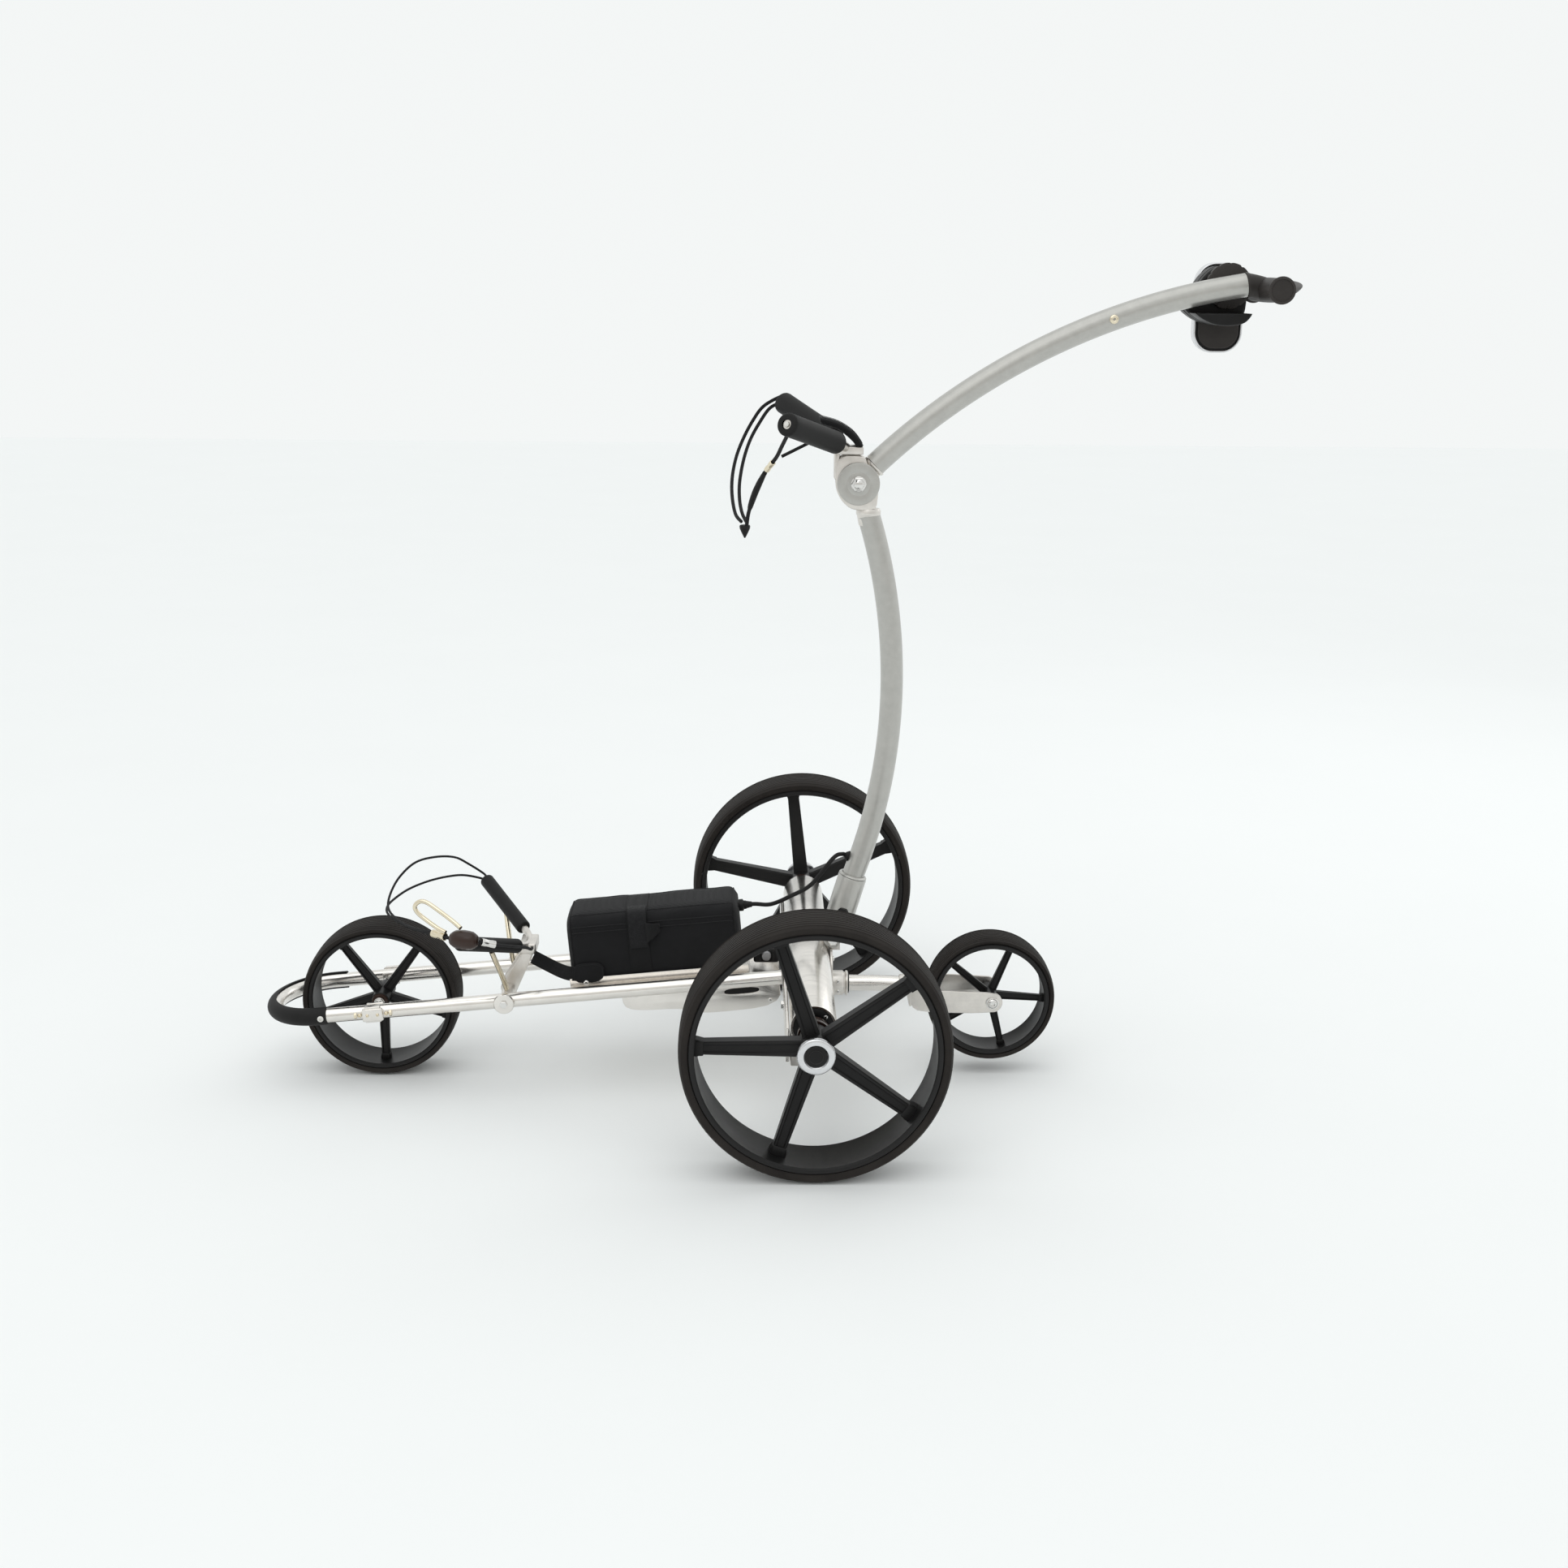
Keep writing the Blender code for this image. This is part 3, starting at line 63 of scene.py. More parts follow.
TUBE_R = 0.013  # both handle tubes
WHEEL_Z = 0.145  # drive wheel radius, and so the axle's height
TRACK_HALF = 0.287
FRONT_AXLE = (0.509, 0.093)
TIP_AXLE = (-0.220, 0.095)
STEM_PIVOT = (-0.0295, 0.166)
SOCKET_TOP = (-0.0521, 0.2438)
STEM_MID = (-0.0933, 0.4692)  # a point on the lower tube's arc
HINGE = (-0.050, 0.7075)
HANDLE_CENTRE = (-0.5888, 0.1815)  # centre of the upper tube's arc
HANDLE_ARC_R = 0.7539
HANDLE_END_X = -0.4738
GRIP_AXIS = (-0.4985, 0.9215)

low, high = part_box("axle_housing")
SHIFT = (low[0] + high[0]) / 2


# ---------------------------------------------------------------- geometry

def at(x, y, z):
    """A point given from the drive axle, in the row frame."""
    return Vector((x + SHIFT, y, z))


def on_rails(u, y, n):
    """A point given in the tilted plane of the side rails."""
    return at(u * math.cos(PITCH) + n * math.sin(PITCH), y,
              RAIL_Z - u * math.sin(PITCH) + n * math.cos(PITCH))


RAIL_TURN = Matrix.Rotation(PITCH, 4, "Y")


def turn_to(way):
    return Vector(way).to_track_quat("Z", "Y").to_matrix().to_4x4()


def mesh_of(name, points, faces, smooth_angle=40.0):
    mesh = bpy.data.meshes.new(name)
    mesh.from_pydata([tuple(p) for p in points], [], faces)
    work = bmesh.new()
    work.from_mesh(mesh)
    bmesh.ops.remove_doubles(work, verts=work.verts, dist=1e-6)
    bmesh.ops.recalc_face_normals(work, faces=work.faces)
    work.to_mesh(mesh)
    work.free()
    return shaded(mesh, smooth_angle)


def shaded(mesh, smooth_angle=40.0):
    mesh.polygons.foreach_set("use_smooth", [True] * len(mesh.polygons))
    mesh.set_sharp_from_angle(angle=math.radians(smooth_angle))
    return mesh


def moved(mesh, *steps):
    for step in steps:
        mesh.transform(step)
    return mesh


def to(point):
    return Matrix.Translation(Vector(point))


def joined(name, meshes):
    work = bmesh.new()
    for mesh in meshes:
        work.from_mesh(mesh)
    whole = bpy.data.meshes.new(name)
    work.to_mesh(whole)
    work.free()
    whole.polygons.foreach_set("use_smooth", [True] * len(whole.polygons))
    return whole


def revolve(profile, steps=64):
    """A body turned about Z from (radius, height) points."""
    points, faces = [], []
    for i in range(steps):
        a = TAU * i / steps
        points += [(r * math.cos(a), r * math.sin(a), z) for r, z in profile]
    count = len(profile)
    for i in range(steps):
        a, b = i * count, ((i + 1) % steps) * count
        for k in range(count - 1):
            faces.append((a + k, b + k, b + k + 1, a + k + 1))
    return mesh_of("turned", points, faces)


def smooth_path(points, spacing):
    """Points along a smooth curve through the given ones, evenly spaced."""
    points = [Vector(p) for p in points]
    last = len(points) - 1
    dense = []
    for i in range(last):
        p0, p1, p2, p3 = points[max(i - 1, 0)], points[i], points[i + 1], points[min(i + 2, last)]
        for k in range(24):
            t = k / 24
            dense.append(0.5 * ((2 * p1) + (p2 - p0) * t + (2 * p0 - 5 * p1 + 4 * p2 - p3) * t**2
                                + (3 * p1 - p0 - 3 * p2 + p3) * t**3))
    dense.append(points[-1])
    total = sum((b - a).length for a, b in zip(dense, dense[1:]))
    count = max(3, round(total / spacing))
    out, walked, index = [dense[0]], 0.0, 0
    for k in range(1, count):
        want = total * k / count
        while walked + (dense[index + 1] - dense[index]).length < want:
            walked += (dense[index + 1] - dense[index]).length
            index += 1
        step = dense[index + 1] - dense[index]
        out.append(dense[index] + step * ((want - walked) / max(step.length, 1e-9)))
    return out + [dense[-1]]


def frames_along(path, up=Vector((0, 0, 1))):
    """(point, side, up) at each point, turning as little as it can along the path."""
    out = []
    for i, point in enumerate(path):
        way = (path[min(i + 1, len(path) - 1)] - path[max(i - 1, 0)]).normalized()
        side = way.cross(up)
        if side.length < 1e-4:
            side = way.cross(Vector((0, 1, 0)))
        side.normalize()
        up = side.cross(way).normalized()
        out.append((point, side, up))
    return out


def sweep(path, section, closed=False, up=(0, 0, 1), scale=None, angle=40.0):
    """A section of (side, up) points carried along a path."""
    path = [Vector(p) for p in path]
    points, faces = [], []
    count = len(section)
    rows = frames_along(path, Vector(up))
    for index, (point, side, top) in enumerate(rows):
        size = 1.0 if scale is None else scale(index / (len(path) - 1))
        points += [point + side * (s * size) + top * (t * size) for s, t in section]
    for i in range(len(path) - 1 + closed):
        a, b = i * count, ((i + 1) % len(path)) * count
        for k in range(count):
            m = (k + 1) % count
            faces.append((a + k, a + m, b + m, b + k))
    if not closed:
        faces.append(tuple(range(count))[::-1])
        faces.append(tuple((len(path) - 1) * count + k for k in range(count)))
    return mesh_of("swept", points, faces, angle)


def disc_section(radius, sides=28):
    return [(radius * math.cos(TAU * i / sides), radius * math.sin(TAU * i / sides)) for i in range(sides)]


def tube(path, radius, sides=28, **more):
    return sweep(path, disc_section(radius, sides), **more)


def plate(outline, thickness, bevel=0.0006, holes=(), steps=3):
    """A flat plate in XZ, its thickness along Y, with rounded edges."""
    data = bpy.data.curves.new("plate", "CURVE")
    data.dimensions = "2D"
    data.fill_mode = "BOTH"
    data.extrude = thickness / 2 - bevel
    data.bevel_depth = bevel
    data.bevel_resolution = steps
    data.offset = -bevel
    for loop in (outline, *holes):
        spline = data.splines.new("POLY")
        spline.points.add(len(loop) - 1)
        for knot, (x, z) in zip(spline.points, loop):
            knot.co = (x, z, 0, 1)
        spline.use_cyclic_u = True
    holder = bpy.data.objects.new("plate", data)
    bpy.context.scene.collection.objects.link(holder)
    bpy.context.view_layer.update()
    mesh = bpy.data.meshes.new_from_object(holder.evaluated_get(bpy.context.evaluated_depsgraph_get()))
    bpy.data.objects.remove(holder, do_unlink=True)
    mesh.materials.clear()
    mesh.transform(Matrix.Rotation(math.radians(90), 4, "X"))
    work = bmesh.new()
    work.from_mesh(mesh)
    bmesh.ops.remove_doubles(work, verts=work.verts, dist=1e-6)
    bmesh.ops.recalc_face_normals(work, faces=work.faces)
    work.to_mesh(mesh)
    work.free()
    return shaded(mesh, 30)


def rounded_box(size, bevel, segments=4, centre=(0, 0, 0)):
    work = bmesh.new()
    bmesh.ops.create_cube(work, size=1.0)
    bmesh.ops.scale(work, vec=Vector(size), verts=work.verts)
    bmesh.ops.bevel(work, geom=list(work.edges), offset=bevel, segments=segments, profile=0.5, affect="EDGES")
    mesh = bpy.data.meshes.new("block")
    work.to_mesh(mesh)
    work.free()
    mesh.transform(to(centre))
    return shaded(mesh, 50)


def arc(radius, centre=(0, 0), count=24, start=0.0, sweep_deg=360.0):
    """(x, z) points round a circle; a full one leaves out the repeated end."""
    steps = count if abs(sweep_deg) >= 360 else count - 1
    angles = [math.radians(start + sweep_deg * i / steps) for i in range(count)]
    return [(centre[0] + radius * math.cos(a), centre[1] + radius * math.sin(a)) for a in angles]


def softened(outline, rounds=2):
    """An outline with its corners cut again and again."""
    for _ in range(rounds):
        out = []
        for (ax, az), (bx, bz) in zip(outline, outline[1:] + outline[:1]):
            out += [(0.78 * ax + 0.22 * bx, 0.78 * az + 0.22 * bz),
                    (0.22 * ax + 0.78 * bx, 0.22 * az + 0.78 * bz)]
        outline = out
    return outline


def hex_head(across, height, washer=0.0):
    """A hexagon head standing on Z = 0, with a domed top and a flat washer under it."""
    corner = across / math.sqrt(3)
    ring = [(corner * math.cos(TAU * i / 6), corner * math.sin(TAU * i / 6)) for i in range(6)]
    points, faces = [], []
    for size, z in ((1.0, 0.0), (1.0, height * 0.82), (0.86, height)):
        points += [(x * size, y * size, z) for x, y in ring]
    for row in range(2):
        for k in range(6):
            a, b = row * 6 + k, row * 6 + (k + 1) % 6
            faces.append((a, b, b + 6, a + 6))
    faces += [tuple(range(6))[::-1], tuple(range(12, 18))]
    head = mesh_of("hex", points, faces, 25)
    if washer:
        rim = revolve([(0, -0.0002), (washer, -0.0002), (washer, 0.0007), (washer - 0.0003, 0.0010),
                       (0, 0.0010)], 32)
        head = joined("hex", [head, rim])
    return head


def button_head(radius, height, socket=0.45):
    """A round-headed cap screw standing on Z = 0, with a recess in its top."""
    inner = radius * socket
    return revolve([(0, 0), (radius, 0), (radius, height * 0.35), (radius * 0.86, height * 0.75),
                    (radius * 0.62, height), (inner, height), (inner * 0.9, height * 0.35),
                    (0, height * 0.3)], 28)


def annulus(profile, steps):
    """A turned body with a hole through it: the profile is closed on itself."""
    return revolve([*profile, profile[0]], steps)


def cylinder(radius, low, high, steps):
    """A plain turned bar, with its ends just short of a point on the axis."""
    return revolve([(0.0001, low), (radius, low), (radius, high), (0.0001, high)], steps)


def loft(rings, angle=50.0):
    """A closed body from rings with equal counts of points, capped at both ends."""
    count = len(rings[0])
    points = [p for ring in rings for p in ring]
    faces = [tuple(range(count))[::-1]]
    for row in range(len(rings) - 1):
        for i in range(count):
            j = (i + 1) % count
            a, b = row * count, (row + 1) * count
            faces.append((a + i, a + j, b + j, b + i))
    last = (len(rings) - 1) * count
    faces.append(tuple(last + i for i in range(count)))
    return mesh_of("loft", points, faces, angle)


Y_UP = Matrix.Rotation(math.radians(-90), 4, "X")
Y_DOWN = Matrix.Rotation(math.radians(90), 4, "X")
SIDES = (("left", 1), ("right", -1))


def outward(sign):
    """Turns a body standing along Z to stand along +Y or -Y, away from the middle."""
    return Y_UP if sign > 0 else Y_DOWN


# ---------------------------------------------------------------- materials

def surface(name, colour, rough, metal=0.0, vary=0.12, rough_vary=0.10, scale=60.0, stretch=(1, 1, 1),
            bump=0.05, bump_scale=900.0, pattern="grain", coat=0.0, sheen=0.0, second=None,
            bump_depth=0.0004, wear=0.0):
    """A procedural finish: broken-up colour and roughness, and a fine bump of grain, brushing or weave."""
    made = bpy.data.materials.new(name)
    made.use_nodes = True
    nodes, links = made.node_tree.nodes, made.node_tree.links
    shader = nodes["Principled BSDF"]
    shader.inputs["Metallic"].default_value = metal
    shader.inputs["Specular IOR Level"].default_value = 0.5 if metal else 0.20
    shader.inputs["Coat Weight"].default_value = coat
    shader.inputs["Sheen Weight"].default_value = sheen
    shader.inputs["Sheen Roughness"].default_value = 0.5
    where = nodes.new("ShaderNodeTexCoord")
    spread = nodes.new("ShaderNodeMapping")
    spread.inputs["Scale"].default_value = stretch
    links.new(where.outputs["Object"], spread.inputs["Vector"])
    cloud = nodes.new("ShaderNodeTexNoise")
    cloud.inputs["Scale"].default_value = scale
    cloud.inputs["Detail"].default_value = 5.0
    cloud.inputs["Roughness"].default_value = 0.62
    links.new(spread.outputs["Vector"], cloud.inputs["Vector"])
    tint = nodes.new("ShaderNodeValToRGB")
    dark = tuple(c * (1 - vary) for c in colour)
    light = tuple(min(1.0, c * (1 + vary)) for c in (second or colour))
    tint.color_ramp.elements[0].position = 0.32
    tint.color_ramp.elements[1].position = 0.68
    tint.color_ramp.elements[0].color = (*dark, 1)
    tint.color_ramp.elements[1].color = (*light, 1)
    links.new(cloud.outputs["Fac"], tint.inputs["Fac"])
    colour_out = tint.outputs["Color"]
    if wear:
        edge = nodes.new("ShaderNodeNewGeometry")
        rub = nodes.new("ShaderNodeMapRange")
        rub.inputs["From Min"].default_value = 0.52
        rub.inputs["From Max"].default_value = 0.60
        rub.inputs["To Max"].default_value = wear
        links.new(edge.outputs["Pointiness"], rub.inputs["Value"])
        mix = nodes.new("ShaderNodeMix")
        mix.data_type = "RGBA"
        mix.inputs["B"].default_value = (*[min(1.0, c * 1.6 + 0.02) for c in colour], 1)
        links.new(rub.outputs["Result"], mix.inputs["Factor"])
        links.new(colour_out, mix.inputs["A"])
        colour_out = mix.outputs["Result"]
    links.new(colour_out, shader.inputs["Base Color"])
    gloss = nodes.new("ShaderNodeMapRange")
    gloss.inputs["To Min"].default_value = max(0.02, rough - rough_vary)
    gloss.inputs["To Max"].default_value = min(1.0, rough + rough_vary)
    links.new(cloud.outputs["Fac"], gloss.inputs["Value"])
    links.new(gloss.outputs["Result"], shader.inputs["Roughness"])
    height = None
    if pattern in ("grain", "brushed"):
        fine = nodes.new("ShaderNodeTexNoise")
        fine.inputs["Scale"].default_value = bump_scale
        fine.inputs["Detail"].default_value = 3.0
        links.new(spread.outputs["Vector"], fine.inputs["Vector"])
        height = fine.outputs["Fac"]
    else:
        waves = []
        for direction in (("X", "Z") if pattern == "weave" else ("DIAGONAL", "Y")):
            wave = nodes.new("ShaderNodeTexWave")
            wave.wave_type = "BANDS"
            wave.bands_direction = direction
            wave.inputs["Scale"].default_value = bump_scale
            wave.inputs["Distortion"].default_value = 0.6
            wave.inputs["Detail"].default_value = 1.0
            links.new(spread.outputs["Vector"], wave.inputs["Vector"])
            waves.append(wave)
        both = nodes.new("ShaderNodeMath")
        both.operation = "MAXIMUM" if pattern == "weave" else "ADD"
        links.new(waves[0].outputs["Fac"], both.inputs[0])
        links.new(waves[1].outputs["Fac"], both.inputs[1])
        height = both.outputs["Value"]
    relief = nodes.new("ShaderNodeBump")
    relief.inputs["Strength"].default_value = bump
    relief.inputs["Distance"].default_value = bump_depth
    links.new(height, relief.inputs["Height"])
    links.new(relief.outputs["Normal"], shader.inputs["Normal"])
    return made


looks = {
    "satin_aluminium": surface("satin_aluminium", (0.80, 0.765, 0.715), 0.25, 1.0, 0.05, 0.07, 40, (1, 1, 1),
                               0.05, 1400, "brushed"),
    "bare_aluminium": surface("bare_aluminium", (0.80, 0.77, 0.73), 0.22, 1.0, 0.07, 0.08, 30, (1, 6, 1),
                              0.06, 1200, "brushed"),
    "cast_aluminium": surface("cast_aluminium", (0.72, 0.69, 0.65), 0.36, 1.0, 0.08, 0.08, 70, (1, 1, 1),
                              0.18, 700, "grain", bump_depth=0.0006),
    "painted_silver": surface("painted_silver", (0.47, 0.465, 0.44), 0.34, 0.55, 0.05, 0.06, 90, (1, 1, 1),
                              0.06, 1800, "grain", coat=0.25),
    "polished_steel": surface("polished_steel", (0.74, 0.73, 0.71), 0.14, 1.0, 0.04, 0.05, 90, (1, 1, 1),
                              0.03, 1500, "grain"),
    "black_plastic": surface("black_plastic", (0.0095, 0.0092, 0.0092), 0.42, 0.0, 0.18, 0.08, 45, (1, 1, 1),
                             0.10, 1600, "grain", wear=0.35),
    "grey_plastic": surface("grey_plastic", (0.036, 0.032, 0.030), 0.50, 0.0, 0.12, 0.08, 60, (1, 1, 1),
                            0.14, 1500, "grain", wear=0.3),
    "tyre_rubber": surface("tyre_rubber", (0.0150, 0.0120, 0.0105), 0.60, 0.0, 0.22, 0.10, 26, (1, 1, 1),
                           0.16, 1100, "grain", second=(0.019, 0.0160, 0.0140)),
    "black_rubber": surface("black_rubber", (0.0115, 0.0112, 0.0112), 0.58, 0.0, 0.2, 0.10, 50, (1, 1, 1),
                            0.12, 1200, "grain"),
    "black_fabric": surface("black_fabric", (0.0095, 0.0095, 0.0105), 0.86, 0.0, 0.18, 0.06, 40, (1, 1, 1),
                            0.55, 420, "weave", sheen=0.06, bump_depth=0.0005),
    "webbing": surface("webbing", (0.0085, 0.0085, 0.0092), 0.80, 0.0, 0.2, 0.06, 60, (1, 1, 1),
                       0.70, 300, "weave", sheen=0.05, bump_depth=0.0007),
    "hook_pile": surface("hook_pile", (0.013, 0.013, 0.014), 0.95, 0.0, 0.25, 0.04, 220, (1, 1, 1),
                         0.9, 900, "grain", sheen=0.12, bump_depth=0.0010),
    "braided_cord": surface("braided_cord", (0.0125, 0.0125, 0.0135), 0.74, 0.0, 0.25, 0.08, 160, (1, 1, 1),
                            0.7, 420, "braid", sheen=0.05, bump_depth=0.0005),
    "brown_plastic": surface("brown_plastic", (0.030, 0.0150, 0.0105), 0.30, 0.0, 0.2, 0.08, 50, (1, 1, 1),
                             0.05, 1200, "grain", coat=0.3),
    "silver_trim": surface("silver_trim", (0.70, 0.705, 0.72), 0.24, 0.95, 0.05, 0.06, 70, (1, 1, 1),
                           0.04, 1500, "brushed"),
    "brass_steel": surface("brass_steel", (0.78, 0.70, 0.54), 0.20, 1.0, 0.08, 0.07, 60, (1, 1, 1),
                           0.03, 1200, "grain"),
    "motor_steel": surface("motor_steel", (0.30, 0.30, 0.31), 0.40, 0.9, 0.08, 0.08, 60, (1, 1, 1),
                           0.06, 1200, "brushed"),
    "white_plastic": surface("white_plastic", (0.72, 0.71, 0.68), 0.38, 0.0, 0.06, 0.05, 60, (1, 1, 1),
                             0.05, 1200, "grain"),
    "thread": surface("thread", (0.020, 0.020, 0.021), 0.85, 0.0, 0.2, 0.05, 300, (1, 1, 1),
                      0.4, 900, "grain"),
}
made_pieces = {}


def piece(name, mesh, look, body, *stands_for):
    """A visible piece with a finish, riding on a body, standing for CAD nodes."""
    meshes = mesh if isinstance(mesh, list) else [mesh]
    whole = joined(name, meshes) if len(meshes) > 1 else meshes[0]
    whole.name = name
    obj = bpy.data.objects.new(name, whole)
    bpy.context.scene.collection.objects.link(obj)
    whole.materials.clear()
    whole.materials.append(looks[look])
    if body:
        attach(obj, body)
    if stands_for:
        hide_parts(*stands_for)
    made_pieces[name] = obj
    return obj


# ---------------------------------------------------------------- camera, light and floor

def set_camera():
    data = bpy.data.cameras.new("photo_camera")
    data.lens = 44.65
    data.sensor_width = 36.0
    data.clip_start = 0.05
    camera = bpy.data.objects.new("photo_camera", data)
    bpy.context.scene.collection.objects.link(camera)
    forward = Vector((-0.01787, -0.96706, -0.25394)).normalized()
    right = Vector((-0.99983, 0.01624, 0.00852))
    right = (right - forward * right.dot(forward)).normalized()
    up = right.cross(forward).normalized()
    turn = Matrix((right, up, -forward)).transposed().to_4x4()
    camera.matrix_world = to(at(0.071, 2.2038, 0.9347)) @ turn
    bpy.context.scene.camera = camera


def area_light(name, point, target, size, power, colour=(1, 1, 1)):
    data = bpy.data.lights.new(name, "AREA")
    data.shape = "RECTANGLE"
    data.size, data.size_y = size
    data.energy = power
    data.color = colour
    light = bpy.data.objects.new(name, data)
    bpy.context.scene.collection.objects.link(light)
    light.location = point
    light.rotation_euler = (Vector(target) - Vector(point)).to_track_quat("-Z", "Y").to_euler()


def set_stage():
    world = bpy.data.worlds.new("studio")
    bpy.context.scene.world = world
    world.use_nodes = True
    sky = world.node_tree.nodes["Background"]
    nodes, links = world.node_tree.nodes, world.node_tree.links
    way = nodes.new("ShaderNodeTexCoord")
    parts = nodes.new("ShaderNodeSeparateXYZ")
    links.new(way.outputs["Generated"], parts.inputs["Vector"])
    ranges = []
    for axis, low, high, at_low, at_high in (("Y", 0.10, 0.75, 0.0, 1.0), ("Z", 0.02, 0.55, 1.0, 0.0)):
        fade = nodes.new("ShaderNodeMapRange")
        fade.interpolation_type = "SMOOTHSTEP"
        for key, value in (("From Min", low), ("From Max", high), ("To Min", at_low), ("To Max", at_high)):
            fade.inputs[key].default_value = value
        links.new(parts.outputs[axis], fade.inputs["Value"])
        ranges.append(fade)
    both = nodes.new("ShaderNodeMath")
    both.operation = "MULTIPLY"
    for index, fade in enumerate(ranges):
        links.new(fade.outputs["Result"], both.inputs[index])
    walls = nodes.new("ShaderNodeMix")
    walls.data_type = "RGBA"
    walls.inputs["A"].default_value = (0.905, 0.925, 0.92, 1)
    walls.inputs["B"].default_value = (0.64, 0.62, 0.59, 1)
    links.new(both.outputs["Value"], walls.inputs["Factor"])
    links.new(walls.outputs["Result"], sky.inputs["Color"])
    sky.inputs["Strength"].default_value = 1.0
    area_light("key", (0.9, 2.2, 2.6), (0, 0, 0.4), (1.8, 1.8), 5, (1.0, 0.985, 0.96))
    area_light("rim", (-1.9, -1.3, 1.7), (0, 0, 0.5), (1.4, 1.4), 4)
    data = bpy.data.lights.new("overhead", "SUN")
    data.energy = 0.42
    data.angle = math.radians(60)
    overhead = bpy.data.objects.new("overhead", data)
    bpy.context.scene.collection.objects.link(overhead)
    overhead.rotation_euler = (math.radians(-14), math.radians(8), 0)
    rows, half = 24, 9.0
    points = [(half * (2 * i / rows - 1), half * (2 * j / rows - 1), 0) for j in range(rows + 1)
              for i in range(rows + 1)]
    faces = [(j * (rows + 1) + i, j * (rows + 1) + i + 1, (j + 1) * (rows + 1) + i + 1,
              (j + 1) * (rows + 1) + i) for j in range(rows) for i in range(rows)]
    floor = bpy.data.objects.new("studio_floor", mesh_of("studio_floor", points, faces))
    bpy.context.scene.collection.objects.link(floor)
    floor.location.z = -0.0006
    floor.data.materials.append(surface("floor_paint", (0.86, 0.875, 0.875), 0.85, 0.0, 0.004, 0.03, 3,
                                        bump=0.0))


bpy.context.scene.view_settings.view_transform = "Standard"
set_camera()
set_stage()


# ---------------------------------------------------------------- wheels

def spoke(inner, outer, width, depth, foot):
    """One channel-section spoke along +X from the hub, its groove facing +Z, with a tab at its foot."""
    rows = []
    for share in (0.0, 0.05, 0.5, 0.90, 0.965, 1.0):
        r = inner + (outer - inner) * share
        w = width * (1.22 - 0.30 * share + (0.30 if share > 0.95 else 0.0)) / 2
        d = depth / 2 * (1.0 + 0.15 * (1 - share))
        groove = 0.0016 if 0.04 < share < 0.95 else 0.0005
        rows.append([Vector((r, y, z)) for y, z in (
            (-w, 0.0018 - d), (0.0018 - w, -d), (w - 0.0018, -d), (w, 0.0018 - d),
            (w, d - 0.0014), (w - 0.0012, d), (w * 0.62, d), (w * 0.48, d - groove),
            (-w * 0.48, d - groove), (-w * 0.62, d), (0.0012 - w, d), (-w, d - 0.0014),
        )])
    tab = moved(rounded_box((foot, width * 1.05, depth * 0.55), 0.0011, 3),
                to((outer - foot * 0.45, 0, depth * 0.30)))
    return [loft(rows, 32), tab]


def wheel(key, body, nodes, spot, radius, width, rim_in, hub_r, hub_half, spoke_w, photo_turn, facing=1):
    """A spoked wheel and its tyre. photo_turn is a spoke's angle seen from the trolley's left side."""
    half = width / 2
    skin = 0.0085 * radius / 0.145 + 0.002
    seat = radius - skin
    place = [outward(facing), to(spot)]
    turn = photo_turn - 180 if facing > 0 else 180 - photo_turn
    crown, groove = 0.0022, 0.0008
    profile = [(seat, 0.0022 - half), (seat + skin * 0.35, 0.0005 - half), (seat + skin * 0.66, -half)]
    ribs = 5
    for k in range(ribs * 2 + 1):
        y = -0.86 + 1.72 * k / (ribs * 2)
        lift = radius - crown * abs(y) ** 3
        profile += [(lift, (y - 0.045) * half), (lift - groove, (y - 0.030) * half),
                    (lift - groove, (y + 0.030) * half), (lift, (y + 0.045) * half)]
    profile += [(seat + skin * 0.66, half), (seat + skin * 0.35, half - 0.0005), (seat, half - 0.0022),
                (seat, 0.0022 - half)]
    piece(key + "_tyre_tread", moved(revolve(profile, 128), *place), "tyre_rubber", body, nodes[1])

    rim_half = half - 0.0012
    rim = annulus([
        (rim_in + 0.0014, -rim_half), (rim_in, 0.0018 - rim_half), (rim_in + 0.0012, -rim_half * 0.60),
        (rim_in + 0.0016, 0), (rim_in + 0.0012, rim_half * 0.60), (rim_in, rim_half - 0.0018),
        (rim_in + 0.0014, rim_half), (seat - 0.0016, rim_half + 0.0004), (seat - GAP, rim_half - 0.0012),
        (seat - GAP, 0.0012 - rim_half), (seat - 0.0016, -rim_half - 0.0004),
    ], 128)
    bore = hub_r * 0.5
    hub = annulus([
        (bore, -hub_half), (hub_r - 0.0015, -hub_half), (hub_r, 0.0015 - hub_half), (hub_r * 1.05, 0),
        (hub_r, hub_half - 0.0015), (hub_r - 0.0015, hub_half), (bore, hub_half),
    ], 64)
    parts = [rim, hub]
    for k in range(5):
        angle = Matrix.Rotation(math.radians(turn + 72 * k), 4, "Z")
        for part in spoke(hub_r * 0.80, rim_in + 0.0020, spoke_w, spoke_w * 0.95, 0.012 * radius / WHEEL_Z):
            parts.append(moved(part, angle))
    piece(key + "_rim_and_spokes", moved(joined(key, parts), *place), "black_plastic", body, nodes[0])


